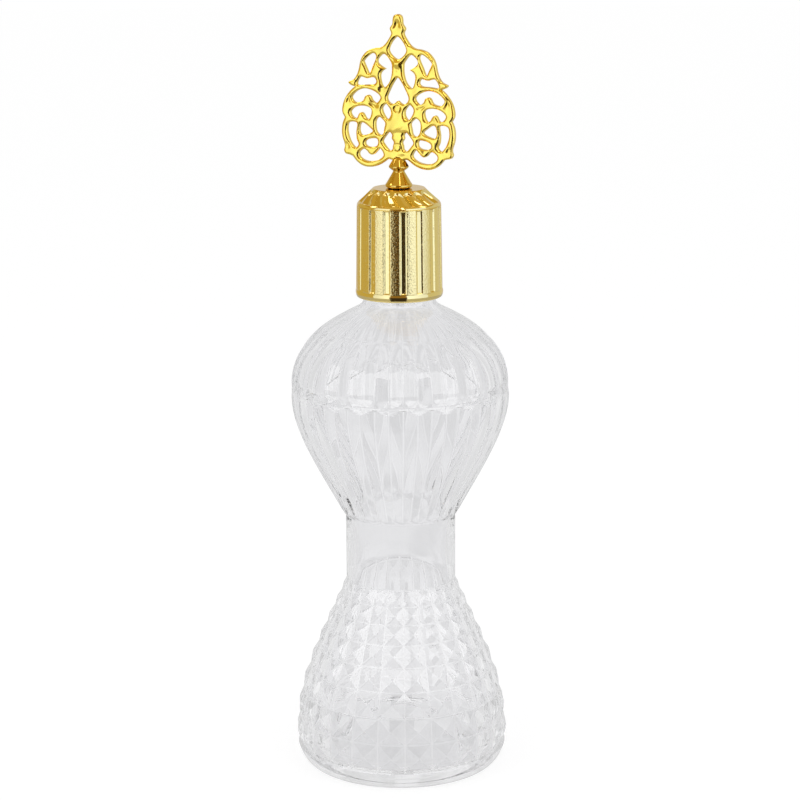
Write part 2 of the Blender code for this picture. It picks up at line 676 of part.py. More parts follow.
def make_finial_screw(parent):
    """Small screw that holds the finial from inside the cap."""
    head_top = CAP_TOP_HEIGHT - CAP_CEILING - SEAT_GAP
    head_bottom = head_top - SCREW_HEAD_THICKNESS
    tip = STEM_SEAT + SCREW_REACH
    profile = [(0.0, head_bottom), (0.7 * SCREW_HEAD_RADIUS, head_bottom),
               (SCREW_HEAD_RADIUS, head_bottom + 0.5 * SCREW_HEAD_THICKNESS),
               (SCREW_HEAD_RADIUS, head_top), (SCREW_RADIUS, head_top),
               (SCREW_RADIUS, tip - 0.4), (0.6 * SCREW_RADIUS, tip), (0.0, tip)]
    shell = revolve(profile, 24)
    finish = material("screw_steel", STEEL, 0.3, 1.0)
    add_object("finial_screw", shell.points, shell.faces, finish, parent)


def make_finial_washer(parent):
    """Thin dark washer between the cap and the stem's foot."""
    top = WASHER_SEAT + WASHER_THICKNESS
    profile = [(SCREW_HOLE_RADIUS, WASHER_SEAT), (WASHER_RADIUS, WASHER_SEAT),
               (WASHER_RADIUS, top), (SCREW_HOLE_RADIUS, top)]
    shell = revolve(profile, 32)
    finish = material("washer_rubber", DARK_RUBBER, 0.6, 0.0)
    add_object("finial_washer", shell.points, shell.faces, finish, parent)


def bell_profile(gap=0.0):
    """Upper cone of the stem, grown by a gap, from its widest ring to the tip."""
    bell = STEM_SEAT + BELL_RISE
    rise = STEM_TOP - BELL_TIP_RISE - bell
    profile = [(BELL_RADIUS + gap, bell - 0.3), (BELL_RADIUS + gap, bell + 0.1)]
    for share in (0.4, 0.75, 1.0):
        radius = BELL_RADIUS + (BELL_TIP_RADIUS - BELL_RADIUS) * share
        profile.append((radius + gap, bell + 0.1 + rise * share))
    profile += [(0.6 * BELL_TIP_RADIUS + gap, STEM_TOP - 0.2), (0.0, STEM_TOP + gap)]
    return profile


def stem_profile():
    """Turned outline from the blind hole round the foot and up to the tip."""
    hole_top = STEM_SEAT + SCREW_REACH + SEAT_GAP
    neck = STEM_SEAT + STEM_NECK_RISE
    bell = STEM_SEAT + BELL_RISE
    recess = WASHER_RADIUS + FIT_GAP
    rim = STEM_SEAT - STEM_FOOT_RIM
    profile = [(0.0, hole_top), (SCREW_HOLE_RADIUS, hole_top), (SCREW_HOLE_RADIUS, STEM_SEAT),
               (recess, STEM_SEAT), (recess, rim), (STEM_FOOT_RADIUS - STEM_FOOT_EASE, rim),
               (STEM_FOOT_RADIUS, rim + STEM_FOOT_EASE), (STEM_FOOT_RADIUS, STEM_SEAT + STEM_FOOT_LIP),
               (STEM_NECK_RADIUS, neck), (STEM_NECK_RADIUS, neck + 0.3),
               (0.8 * BELL_RADIUS, bell - 0.9)]
    return profile + bell_profile()


def add_block(name, low, high, finish, parent):
    """A plain block between two corners, in millimetres."""
    square = ((low[0], low[1]), (high[0], low[1]), (high[0], high[1]), (low[0], high[1]))
    corners = [(x, y, z) for z in (low[2], high[2]) for x, y in square]
    faces = [(0, 3, 2, 1), (4, 5, 6, 7), (0, 1, 5, 4), (1, 2, 6, 5), (2, 3, 7, 6), (3, 0, 4, 7)]
    return add_object(name, corners, faces, finish, parent)


def cut_away(body, cutter, name):
    """Cuts one object out of another and hides the cutter."""
    cutter.hide_render = True
    cutter.display_type = "WIRE"
    cut = body.modifiers.new(name, "BOOLEAN")
    cut.operation = "DIFFERENCE"
    cut.object = cutter


def make_finial_stem(parent):
    """Turned stem: conical foot, thin neck and a bell slotted for the ornament."""
    shell = revolve(stem_profile(), 32)
    finish = material("stem_gold", CAP_GOLD, 0.12, 1.0)
    stem = add_object("finial_stem", shell.points, shell.faces, finish, parent)
    reach = BELL_RADIUS + 1.0
    half = 0.5 * TANG_THICKNESS + SEAT_GAP
    floor = STEM_TOP - TANG_DEPTH - SEAT_GAP
    slot = add_block("slot_cutter", (-reach, -half, floor), (reach, half, STEM_TOP + 2.0),
                     finish, parent)
    cut_away(stem, slot, "plate_slot")


def smooth_loop(points):
    """A closed outline through the points, curved except at the sharp ones."""
    count = len(points)
    loop = []
    for index, point in enumerate(points):
        here = Vector(point[:2])
        after = Vector(points[(index + 1) % count][:2])
        before = Vector(points[index - 1][:2])
        beyond = Vector(points[(index + 2) % count][:2])
        leave = Vector((0, 0)) if len(point) > 2 else (after - before) / 6
        arrive = Vector((0, 0)) if len(points[(index + 1) % count]) > 2 else (beyond - here) / 6
        loop.append(tuple(here))
        pieces = 2 if (after - here).length > CURVE_PIECE else 1
        loop += bezier(here, here + leave, after - arrive, after, pieces)[:-1]
    return loop


def mirrored(points):
    """The same outline on the left, run backwards so that it turns the same way."""
    return [(-point[0], *point[1:]) for point in reversed(points)]


def whole(half):
    """A full outline from its right half, whose ends may lie on the centre line."""
    left = [point for point in mirrored(half) if abs(point[0]) > 1e-6]
    return half + left


def area(loop):
    return 0.5 * sum(a[0] * b[1] - b[0] * a[1] for a, b in zip(loop, loop[1:] + loop[:1]))


def ornament_loops():
    """Outer edge first, then every opening, each a loop of (across, up)."""
    tang = [(TANG_HALF_WIDTH, -1.3, 1), (TANG_HALF_WIDTH, -TANG_DEPTH, 1)]
    loops = [smooth_loop(whole(ORNAMENT_EDGE + tang))]
    loops += [smooth_loop(whole(half)) for half in CENTRE_OPENINGS]
    for opening in SIDE_OPENINGS:
        loops.append(smooth_loop(opening))
        loops.append(smooth_loop(mirrored(opening)))
    return loops


def inset(loop, distance):
    """Moves a loop towards the metal on its left by a distance."""
    moved = []
    for before, here, after in zip(loop[-1:] + loop[:-1], loop, loop[1:] + loop[:1]):
        run = Vector((after[0] - before[0], after[1] - before[1])).normalized()
        moved.append((here[0] - run.y * distance, here[1] + run.x * distance))
    return moved


def make_finial_ornament(parent):
    """Pierced palmette with pillowed edges; its foot is thinned to sit in the bell."""
    loops = ornament_loops()
    loops = [loop if (area(loop) > 0) == (index == 0) else loop[::-1]
             for index, loop in enumerate(loops)]
    faces_inset = [inset(loop, PILLOW_INSET) for loop in loops]
    layers = [(faces_inset, -0.5 * PLATE_THICKNESS), (loops, -0.5 * PLATE_EDGE),
              (loops, 0.5 * PLATE_EDGE), (faces_inset, 0.5 * PLATE_THICKNESS)]
    points = []
    for outline, depth in layers:
        for loop in outline:
            points += [(x, depth, STEM_TOP + z) for x, z in loop]
    total = sum(len(loop) for loop in loops)
    faces = []
    first = 0
    for loop in loops:
        size = len(loop)
        for layer in range(len(layers) - 1):
            low = first + layer * total
            for k in range(size):
                after = (k + 1) % size
                faces.append((low + k, low + after, low + after + total, low + k + total))
        first += size
    flat = tessellate_polygon([[Vector((x, z, 0.0)) for x, z in loop] for loop in faces_inset])
    back = (len(layers) - 1) * total
    for a, b, c in flat:
        faces.append((a, b, c))
        faces.append((c + back, b + back, a + back))
    finish = material("ornament_gold", FINIAL_GOLD, 0.16, 1.0)
    ornament = add_object("finial_ornament", points, faces, finish, parent, crease=30.0)

    foot = (BELL_RADIUS + SEAT_GAP, STEM_TOP - TANG_DEPTH - 2.0)
    pocket_profile = [(0.0, foot[1]), foot] + bell_profile(SEAT_GAP)[1:]
    pocket = revolve(pocket_profile, 32)
    bell = add_object("bell_cutter", pocket.points, pocket.faces, finish, parent)
    reach = BELL_RADIUS + 2.0
    half = 0.5 * TANG_THICKNESS
    core = add_block("tang_core", (-reach, -half, foot[1] - 1.0), (reach, half, STEM_TOP + 3.0),
                     finish, parent)
    cut_away(bell, core, "tang_core")
    cut_away(ornament, bell, "bell_pocket")


def main():
    clear_scene()
    make_glass_bottle()
    plug_frame = add_frame("dripper_frame", 0.0, 0.0)
    cap_frame = add_frame("cap_frame", 0.0, CAP_STOP_ANGLE, plug_frame)
    make_dripper_plug(plug_frame)
    make_cap_liner(cap_frame)
    make_cap_inner(cap_frame)
    make_cap_shell(cap_frame)
    make_finial_screw(cap_frame)
    make_finial_washer(cap_frame)
    make_finial_stem(cap_frame)
    make_finial_ornament(cap_frame)
    bpy.context.view_layer.update()


main()
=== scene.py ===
from math import cos, exp, hypot, pi, radians, sin

import bmesh
import bpy
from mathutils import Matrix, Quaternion, Vector
from mathutils.geometry import delaunay_2d_cdt
from mathutils.kdtree import KDTree


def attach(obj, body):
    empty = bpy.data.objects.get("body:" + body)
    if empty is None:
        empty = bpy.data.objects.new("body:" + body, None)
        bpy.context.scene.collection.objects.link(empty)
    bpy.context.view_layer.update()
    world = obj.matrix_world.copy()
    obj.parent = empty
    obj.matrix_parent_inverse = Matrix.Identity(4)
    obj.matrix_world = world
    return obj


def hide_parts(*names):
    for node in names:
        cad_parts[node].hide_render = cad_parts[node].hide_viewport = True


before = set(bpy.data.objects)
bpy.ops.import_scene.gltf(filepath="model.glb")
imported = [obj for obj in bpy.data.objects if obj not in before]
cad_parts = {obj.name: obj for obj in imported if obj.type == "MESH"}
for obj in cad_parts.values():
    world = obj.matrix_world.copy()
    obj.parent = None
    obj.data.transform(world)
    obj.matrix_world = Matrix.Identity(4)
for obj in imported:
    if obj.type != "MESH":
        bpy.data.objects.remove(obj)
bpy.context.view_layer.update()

scene = bpy.context.scene
scene.view_settings.view_transform = "Standard"
MM = 0.001

# Camera: a long lens, a little above the cap and a little to the left of the
# front seam, as far away as the ellipses of the foot and the cap rim show.
FOCAL_PIXELS = 2650.0
PICTURE_PIXELS = 800.0
SENSOR_WIDTH = 36.0
CAMERA_DISTANCE = 0.8515
CAMERA_HEIGHT = 0.3257
CAMERA_TURN = radians(-1.75)
CAMERA_PITCH = radians(13.3)
CAMERA_ROLL = radians(-0.3)


def away(turn, rise):
    """The direction out from the axis, at a turn from the front and a rise, in radians."""
    return Vector((sin(turn) * cos(rise), -cos(turn) * cos(rise), sin(rise)))


lens_data = bpy.data.cameras.new("camera")
lens_data.sensor_width = SENSOR_WIDTH
lens_data.lens = FOCAL_PIXELS / PICTURE_PIXELS * SENSOR_WIDTH
camera = bpy.data.objects.new("camera", lens_data)
camera.location = (CAMERA_DISTANCE * sin(CAMERA_TURN), -CAMERA_DISTANCE * cos(CAMERA_TURN), CAMERA_HEIGHT)
camera.rotation_mode = "QUATERNION"
camera.rotation_quaternion = ((-away(CAMERA_TURN, CAMERA_PITCH)).to_track_quat("-Z", "Y")
                              @ Quaternion((0.0, 0.0, 1.0), CAMERA_ROLL))
scene.collection.objects.link(camera)
scene.camera = camera


# Floor: a pale sweep that shows white to the camera and keeps the object's soft
# shadow. In the gold and in the sheen of the glass it glows less, a painted shade
# on those reflections. Through the glass it is a little greyer too, with light and
# grey sectors, as the soft folds of a white tent make, and a painted shadow near the object.
FLOOR_RADIUS = 3.0
FLOOR_ALBEDO = 0.8
FLOOR_GLOW = 0.86
LESS_IN_SHEEN = 0.3
LESS_IN_GOLD = 0.5
LESS_IN_GLASS = 0.08
SHADOW_SHARE = 0.27
WORLD_LIGHT = 0.5
FOLD_SCALE = 6.5
FOLD_DARK = -0.08
FOLD_LIGHT = 0.075


class Field:
    """A socket of a node tree. Sums and products of Fields add the nodes that work
    them out, so that the rules of shapes and finishes read like plain formulas."""

    def __init__(self, tree, socket):
        self.tree = tree
        self.socket = socket

    def math(self, operation, *others):
        return add(self.tree, "ShaderNodeMath", self, *others, settings={"operation": operation})

    def __add__(self, other):
        return self.math("ADD", other)

    def __sub__(self, other):
        return self.math("SUBTRACT", other)

    def __rsub__(self, other):
        return add(self.tree, "ShaderNodeMath", other, self, settings={"operation": "SUBTRACT"})

    def __mul__(self, other):
        return self.math("MULTIPLY", other)

    def __truediv__(self, other):
        return self.math("DIVIDE", other)

    def __neg__(self):
        return self.math("MULTIPLY", -1.0)

    def __abs__(self):
        return self.math("ABSOLUTE")

    def ramp(self, low, high, start=0.0, end=1.0):
        """Eases from start to end as the value goes from low to high."""
        return add(self.tree, "ShaderNodeMapRange", self, low, high, start, end,
                   settings={"interpolation_type": "SMOOTHSTEP"})


def feed(tree, node, *values, **named):
    """Links Fields to a node's inputs, or sets them to plain values, in order and then
    by name; a space in a name is written as _."""
    pairs = list(zip(values, node.inputs))
    pairs += [(value, node.inputs[name.replace("_", " ")]) for name, value in named.items()]
    for value, socket in pairs:
        if isinstance(value, Field):
            tree.links.new(value.socket, socket)
        else:
            socket.default_value = value


def add(tree, kind, *values, out=0, settings=None, **named):
    """Adds a node, feeds it, and returns one of its outputs as a Field."""
    node = tree.nodes.new(kind)
    for key, setting in (settings or {}).items():
        setattr(node, key, setting)
    feed(tree, node, *values, **named)
    return Field(tree, node.outputs[out]) if len(node.outputs) else None


def split(tree, vector):
    """The X, Y and Z of a vector."""
    node = add(tree, "ShaderNodeSeparateXYZ", vector).socket.node
    return [Field(tree, socket) for socket in node.outputs]


def object_spot(tree):
    """Object coordinates."""
    return add(tree, "ShaderNodeTexCoord", out="Object")


def ray(tree, kind):
    """1 for rays of that kind, 0 for all others."""
    return add(tree, "ShaderNodeLightPath", out=f"Is {kind} Ray")


def seen_directly(tree):
    """1 for camera, reflected and transmitted rays, 0 for light that only spreads."""
    return ray(tree, "Camera").math("MAXIMUM", ray(tree, "Glossy")).math("MAXIMUM", ray(tree, "Transmission"))


def sharp_reflection(tree):
    """1 for rays that a perfectly smooth face, here the glass, has reflected."""
    return ray(tree, "Singular") * (1.0 - ray(tree, "Transmission"))


def tent_folds_and_painted_shadow(tree):
    """Light and grey sectors round the object, as the soft folds of a white tent make, and a painted shadow
    that greys the floor near the object.
    """
    x, y, _ = split(tree, object_spot(tree))
    far = (x * x + y * y).math("SQRT")
    sector = add(tree, "ShaderNodeCombineXYZ", x / far, y / far, far * 0.5)
    fold = add(tree, "ShaderNodeTexNoise", Vector=sector, Scale=FOLD_SCALE, Detail=1.0)
    shade = fold.ramp(0.36, 0.64, FOLD_DARK, FOLD_LIGHT) * far.ramp(0.1, 0.45, 0.25, 1.0)
    # Painted shadow: a little greyer within 0.3 m of the axis, where the object's shadow falls.
    return shade + far.ramp(0.03, 0.3, -0.05, 0.0)


def bare_look(name):
    """A new material with an empty tree, and that tree."""
    look = bpy.data.materials.new(name)
    look.use_nodes = True
    look.node_tree.nodes.clear()
    return look, look.node_tree


floor_look, tree = bare_look("pale_floor")
plain = add(tree, "ShaderNodeBsdfDiffuse", Color=(FLOOR_ALBEDO,) * 3 + (1.0,))
shaded = add(tree, "ShaderNodeBsdfDiffuse", Color=(SHADOW_SHARE,) * 3 + (1.0,))
# Painted shade: the floor glows less in the gold's reflections, in the glass's sheen and through the glass.
in_gold = ray(tree, "Glossy") * (1.0 - ray(tree, "Singular"))
in_glass = ray(tree, "Transmission") * (tent_folds_and_painted_shadow(tree) - LESS_IN_GLASS)
glow = add(tree, "ShaderNodeEmission", Strength=sharp_reflection(tree) * -LESS_IN_SHEEN
           + in_gold * -LESS_IN_GOLD + in_glass + FLOOR_GLOW)
white = add(tree, "ShaderNodeAddShader", shaded, glow)
add(tree, "ShaderNodeOutputMaterial",
    Surface=add(tree, "ShaderNodeMixShader", seen_directly(tree), plain, white))

bpy.ops.mesh.primitive_circle_add(vertices=96, radius=FLOOR_RADIUS, fill_type="NGON")
floor = bpy.context.object
floor.name = "floor"
floor.data.materials.append(floor_look)

world = bpy.data.worlds.new("studio")
scene.world = world
world.use_nodes = True
tree = world.node_tree
feed(tree, tree.nodes["Background"], Color=(1.0, 1.0, 1.0, 1.0),
     Strength=seen_directly(tree) * (1.0 - WORLD_LIGHT) + WORLD_LIGHT)

# Light bounces often between the walls of thick pressed glass.
scene.cycles.max_bounces = 32
scene.cycles.glossy_bounces = 24
scene.cycles.transmission_bounces = 32


# Studio: two lamps light the object at a plain level. Panels that the camera does
# not see give the gold its light and dark bands, as a tent with openings does, and
# give the glass its bright sheens and the pale greys that show through it.
AIM = Vector((0.0, 0.0, 190.0 * MM))
FLOOR_GAP = 4.0 * MM
PANEL_COLUMNS = 16
PANEL_ROWS = 8


def lamp(name, turn, rise, distance, side, radiance):
    """A square area lamp aimed at the cap; turn 0 is the camera's side."""
    data = bpy.data.lights.new(name, "AREA")
    data.shape = "RECTANGLE"
    data.size = data.size_y = side
    data.energy = radiance * pi * side * side
    item = bpy.data.objects.new(name, data)
    out = away(radians(turn) + CAMERA_TURN, radians(rise))
    item.location = AIM + out * distance
    item.rotation_euler = out.to_track_quat("Z", "Y").to_euler()
    item.visible_camera = item.visible_glossy = item.visible_transmission = False
    scene.collection.objects.link(item)


def marked(tree, key):
    """The mark of that name on the surface."""
    return add(tree, "ShaderNodeAttribute", out="Fac", settings={"attribute_name": key})


def panel(name, turns, rises, distance, light, fade, sheen, through):
    """A curved sheet round the cap, between two turns and two rises. The gold sees its
    light, which goes from fade[0] to fade[1] of the full value across it; the glass sees
    a grey of its own in its sheen, and another through its thickness. None lets that
    light pass."""
    look, tree = bare_look(name)
    shader = behind = add(tree, "ShaderNodeBsdfTransparent")
    if light:
        glow = marked(tree, "across").ramp(0.0, 1.0, *fade)
        shader = add(tree, "ShaderNodeEmission", Color=(*light, 1.0), Strength=glow)
    if through:
        behind = add(tree, "ShaderNodeEmission", Strength=tent_folds_and_painted_shadow(tree) + through)
    grey = add(tree, "ShaderNodeEmission", Strength=sheen)
    shader = add(tree, "ShaderNodeMixShader", sharp_reflection(tree), shader, grey)
    shader = add(tree, "ShaderNodeMixShader", ray(tree, "Transmission"), shader, behind)
    add(tree, "ShaderNodeOutputMaterial", Surface=shader)
    places, faces, across = [], [], []
    for row in range(PANEL_ROWS + 1):
        for column in range(PANEL_COLUMNS + 1):
            angle = radians(turns[0] + (turns[1] - turns[0]) * column / PANEL_COLUMNS) + CAMERA_TURN
            rise = radians(rises[0] + (rises[1] - rises[0]) * row / PANEL_ROWS)
            reach = min(distance, (AIM.z - FLOOR_GAP) / sin(-rise)) if rise < 0.0 else distance
            places.append(AIM + away(angle, rise) * reach)
            across.append(column / PANEL_COLUMNS)
    for row in range(PANEL_ROWS):
        for column in range(PANEL_COLUMNS):
            k = row * (PANEL_COLUMNS + 1) + column
            faces.append((k, k + 1, k + PANEL_COLUMNS + 2, k + PANEL_COLUMNS + 1))
    mesh = bpy.data.meshes.new(name)
    mesh.from_pydata(places, [], faces)
    mesh.attributes.new("across", "FLOAT", "POINT").data.foreach_set("value", across)
    mesh.materials.append(look)
    sheet = bpy.data.objects.new(name, mesh)
    for kind in ("camera", "diffuse", "volume_scatter", "shadow"):
        setattr(sheet, "visible_" + kind, False)
    scene.collection.objects.link(sheet)


lamp("left_lamp", -52, 12, 0.75, 0.5, 1.6)
lamp("right_lamp", 45, 14, 0.75, 0.5, 1.4)

# Name, turns, rises, distance, light in the gold, its fade, sheen, and grey through
EVEN = (1.0, 1.0)
for sheet in (
        ("gap_low", (-25, 20), (-45, -4), 0.70, (0.045, 0.035, 0.025), EVEN, 0.3, 0.91),
        ("gap_high", (-25, 20), (-4, 36), 0.70, (0.30, 0.18, 0.05), EVEN, 0.3, 0.91),
        ("left_softbox", (-72, -27), (-20, 40), 0.60, (1.3, 1.46, 2.0), (0.75, 1.0), 0.9, 1.02),
        ("right_softbox", (20, 80), (-20, 40), 0.60, (1.3, 1.52, 2.25), (1.0, 0.75), 0.9, 1.02),
        ("left_side", (-150, -72), (-20, 30), 0.75, (0.60, 0.48, 0.17), EVEN, 0.7, 0.95),
        ("right_side", (80, 150), (-20, 30), 0.75, (0.70, 0.69, 0.56), EVEN, 0.7, 0.95),
        ("left_high", (-150, -72), (30, 70), 0.75, (0.52, 0.35, 0.07), EVEN, 0.7, 0.93),
        ("right_high", (80, 150), (30, 70), 0.75, (0.56, 0.39, 0.08), EVEN, 0.7, 0.93),
        ("left_streak", (-104, -90), (38, 62), 0.60, (3.6, 3.35, 3.1), EVEN, 0.7, 0.95),
        ("right_streak", (86, 98), (38, 62), 0.60, (3.6, 3.35, 3.1), EVEN, 0.7, 0.95),
        ("backdrop", (150, 210), (-16, 40), 0.90, (0.68, 0.60, 0.50), EVEN, 0.7, 0.93),
        ("ceiling_front", (-72, 80), (36, 66), 0.78, (0.66, 0.49, 0.18), EVEN, 0.8, 0.95),
        ("ceiling", (-180, 180), (64, 89), 0.80, (0.60, 0.42, 0.10), EVEN, 0.8, 0.95),
        ("key_strip", (9, 17), (36, 66), 0.55, (4.5, 4.0, 3.9), EVEN, 2.6, 1.0),
        ("left_sheet", (-72, -14), (-3, 29), 0.56, None, EVEN, 3.1, None),
        ("right_sheet", (14, 80), (-3, 29), 0.56, None, EVEN, 2.8, None),
        ("top_sheet", (-60, 60), (28, 38), 0.50, None, EVEN, 3.0, None)):
    panel(*sheet)


# Bottle: clear soda glass, pressed and blown in a two-part mould. The outline
# is turned, and studs, grooves and flutes repeat twenty-four times round it.
FACETS = 24
GLASS_COLUMNS = 10 * FACETS
FOOT_RADIUS = 29.5
FOOT_BAND = 3.0
PUNT_DEPTH = 1.4
BELLY = (35.6, 11.5)
STUD_START = 7.4
STUD_ROWS = 8
STUD_STEPS = 10
STUD_DEPTH = 0.11
STUD_CREASE = 14.0
WAIST_RADIUS = 18.2
WAIST = (64.0, 86.4)
LEDGE = (19.3, 87.3)
LEDGE_FADE = 1.8
BULB = (36.0, 127.0)
EQUATOR = (35.75, 129.8)
GROOVE_DEPTH = 0.034
GROOVE_EASE = 100.0
GROOVE_BEAD = 0.9
CHAMFER_START = 127.5
CHAMFER_DEPTH = 0.55
FLUTE_DEPTH = 0.95
FLUTE_ARCH_RADIUS = 26.0
FLUTE_BEAD = 0.7
VEIN_DEPTH = 0.12
NECK_RADIUS = 11.9
NECK_FILLET = 14.4
DOME_TOP = 156.8
NECK_LEDGE = 160.6
FINISH_RADIUS = 10.0
NECK_TOP = 176.0
NECK_BORE = 6.5
NECK_THREAD = (163.2, 174.6)
THREAD_PITCH = 3.175
THREAD_RISE = 0.9
THREAD_STEPS = 44
WALL = 3.0
BASE_THICKNESS = 6.4
THROAT = (NECK_BORE + 2.4, 159.4)
CROWDED = 0.5
MERGE_DISTANCE = 0.002 * MM
GLASS_TINT = 0.82
CAVITY_TINT = 0.985
# Painted highlights: how much lighter the tint is on beads, stud petals and diagonals.
BEAD_HIGHLIGHT_TINT, PETAL_HIGHLIGHT_TINT, DIAGONAL_HIGHLIGHT_TINT = 0.13, 0.08, 0.09
RIPPLE_BUMP, BROAD_BUMP, SEAM_BUMP, BEAD_BUMP = 0.006, 0.02, 0.01, 0.08


def bezier(start, first, second, end, steps):
    """Points of a cubic curve, its start left out and its end kept."""
    points = []
    for step in range(1, steps + 1):
        t = step / steps
        weights = ((1 - t) ** 3, 3 * t * (1 - t) ** 2, 3 * t * t * (1 - t), t ** 3)
        points.append(tuple(sum(w * p[k] for w, p in zip(weights, (start, first, second, end)))
                            for k in (0, 1)))
    return points


def heel_curve(steps):
    """From the foot ring round the heel up to the belly."""
    return [(FOOT_RADIUS + (BELLY[0] - FOOT_RADIUS) * sin(0.5 * pi * k / steps),
             BELLY[1] * (1 - cos(0.5 * pi * k / steps))) for k in range(steps + 1)]


def skirt_curve(steps):
    """From the belly up to the waist."""
    reach = 18.0
    return bezier(BELLY, (BELLY[0], BELLY[1] + reach), (WAIST_RADIUS + 0.43 * reach, WAIST[0] - reach),
                  (WAIST_RADIUS, WAIST[0]), steps)


def bulb_curve(steps):
    """From the ledge over the waist up to the widest ring of the bulb."""
    reach = 12.0
    return bezier(LEDGE, (LEDGE[0] + 0.53 * reach, LEDGE[1] + reach), (BULB[0], BULB[1] - reach), BULB, steps)


def dome_curve(steps):
    """From the equator up to the neck."""
    leave, arrive = 13.0, 15.0
    return bezier(EQUATOR, (EQUATOR[0], EQUATOR[1] + leave),
                  (NECK_RADIUS + arrive, DOME_TOP - 0.46 * arrive), (NECK_RADIUS, DOME_TOP), steps)


def on_curve(points, height):
    """Radius at a height, on a polyline that only rises."""
    for (r0, z0), (r1, z1) in zip(points, points[1:]):
        if z0 <= height <= z1:
            return r0 + (r1 - r0) * (height - z0) / (z1 - z0)
    return points[0][0] if height < points[0][1] else points[-1][0]


def stud_heights(outline):
    """Row lines of the studs, top to bottom, spaced so that each facet is square."""
    stretch = 1.0
    for _ in range(20):
        heights = [WAIST[0]]
        for _row in range(STUD_ROWS):
            width = 2 * pi * on_curve(outline, heights[-1]) / FACETS
            width = 2 * pi * on_curve(outline, heights[-1] - 0.5 * width * stretch) / FACETS
            heights.append(heights[-1] - width * stretch)
        stretch *= (WAIST[0] - STUD_START) / (heights[0] - heights[-1])
    return heights[::-1]


def profile_mesh(name, rows):
    """A line of points, one for each row: (radius, height, values by name)."""
    mesh = bpy.data.meshes.new(name)
    places = [(r * MM, 0.0, z * MM) for r, z, _ in rows]
    mesh.from_pydata(places, [(k, k + 1) for k in range(len(rows) - 1)], [])
    columns = {"out": [], "up": []}
    for k in range(len(rows)):
        before, after = rows[max(k - 1, 0)], rows[min(k + 1, len(rows) - 1)]
        run = (after[0] - before[0], after[1] - before[1])
        size = hypot(*run) or 1.0
        columns["out"].append(run[1] / size)
        columns["up"].append(-run[0] / size)
    for key in sorted({key for _, _, values in rows for key in values}):
        columns[key] = [values.get(key, 0.0) for _, _, values in rows]
    for key, numbers in columns.items():
        mesh.attributes.new(key, "FLOAT", "POINT").data.foreach_set("value", numbers)
    return mesh


def lathe_tree(name, rule=None):
    """Geometry nodes that turn a profile round Z. The rule gives the depth that is
    sunk into the surface, and marks, from the place in one repeat and the row."""
    tree = bpy.data.node_groups.new(name, "GeometryNodeTree")
    for label, kind in (("Profile", "Geometry"), ("Repeats", "Int"), ("Columns in a Repeat", "Int"),
                        ("Crowding", "Float"), ("First Angle", "Float"), ("Material", "Material")):
        tree.interface.new_socket(name=label, in_out="INPUT", socket_type="NodeSocket" + kind)
    tree.interface.new_socket(name="Geometry", in_out="OUTPUT", socket_type="NodeSocketGeometry")
    entry = tree.nodes.new("NodeGroupInput")
    given = {socket.name: Field(tree, socket) for socket in entry.outputs if socket.name}
    profile, repeats, per = given["Profile"], given["Repeats"], given["Columns in a Repeat"]
    rows = add(tree, "GeometryNodeAttributeDomainSize", Geometry=profile, out="Point Count")
    grid = add(tree, "GeometryNodeMeshGrid", Vertices_X=repeats * per + 1.0, Vertices_Y=rows)
    index = add(tree, "GeometryNodeInputIndex")
    column = (index / rows).math("FLOOR")
    row = index - column * rows
    lap = (column / per).math("FLOOR")
    even = (column - lap * per) / per
    part = even - given["Crowding"] * (even * (4 * pi)).math("SINE") / (4 * pi)
    turn = (lap + part) / repeats

    def value(key):
        """The profile's value of that name at this row."""
        named = add(tree, "GeometryNodeInputNamedAttribute", Name=key)
        return add(tree, "GeometryNodeSampleIndex", Geometry=profile, Index=row, Value=named)

    place = add(tree, "GeometryNodeSampleIndex", settings={"data_type": "FLOAT_VECTOR"}, Geometry=profile,
                Value=add(tree, "GeometryNodeInputPosition"), Index=row)
    radius, _, height = split(tree, place)
    marks = {}
    if rule:
        sunk, marks = rule(value, part, turn, radius)
        radius = radius - sunk * value("out")
        height = height - sunk * value("up")
    angle = (turn + value("twist")) * (2 * pi) + given["First Angle"]
    spot = add(tree, "ShaderNodeCombineXYZ", radius * angle.math("SINE"), -(radius * angle.math("COSINE")),
               height)
    shape = add(tree, "GeometryNodeSetPosition", Geometry=grid, Position=spot)
    for key, mark in marks.items():
        shape = add(tree, "GeometryNodeStoreNamedAttribute", Geometry=shape, Name=key, Value=mark)
    joined = add(tree, "GeometryNodeMergeByDistance", Geometry=shape, Distance=MERGE_DISTANCE)
    thirds = add(tree, "GeometryNodeTriangulate", settings={"quad_method": "LONGEST_DIAGONAL"}, Mesh=joined)
    real = add(tree, "GeometryNodeRealizeInstances", Geometry=thirds)
    painted = add(tree, "GeometryNodeSetMaterial", Geometry=real, Material=given["Material"])
    add(tree, "NodeGroupOutput", painted)
    return tree


def wear(mesh, look):
    """Leaves a mesh with one material, which all of its faces take."""
    mesh.materials.clear()
    mesh.materials.append(look)


def run_tree(name, base, tree, **inputs):
    """Runs a geometry tree on a mesh and returns the result as a plain object."""
    source = bpy.data.objects.new(name + "_source", base)
    scene.collection.objects.link(source)
    modifier = source.modifiers.new("nodes", "NODES")
    modifier.node_group = tree
    sockets = {item.name: item.identifier for item in tree.interface.items_tree if item.in_out == "INPUT"}
    for key, value in inputs.items():
        modifier[sockets[key.replace("_", " ")]] = value
    graph = bpy.context.evaluated_depsgraph_get()
    mesh = bpy.data.meshes.new_from_object(source.evaluated_get(graph), depsgraph=graph)
    bpy.data.objects.remove(source)
    wear(mesh, inputs["Material"])
    mesh.name = name
    piece = bpy.data.objects.new(name, mesh)
    scene.collection.objects.link(piece)
    return piece


def smooth(piece, crease):
    """Smooth shading, with edges kept sharp where faces meet at more than the crease angle."""
    piece.data.shade_smooth()
    piece.data.set_sharp_from_angle(angle=radians(crease))
    return piece


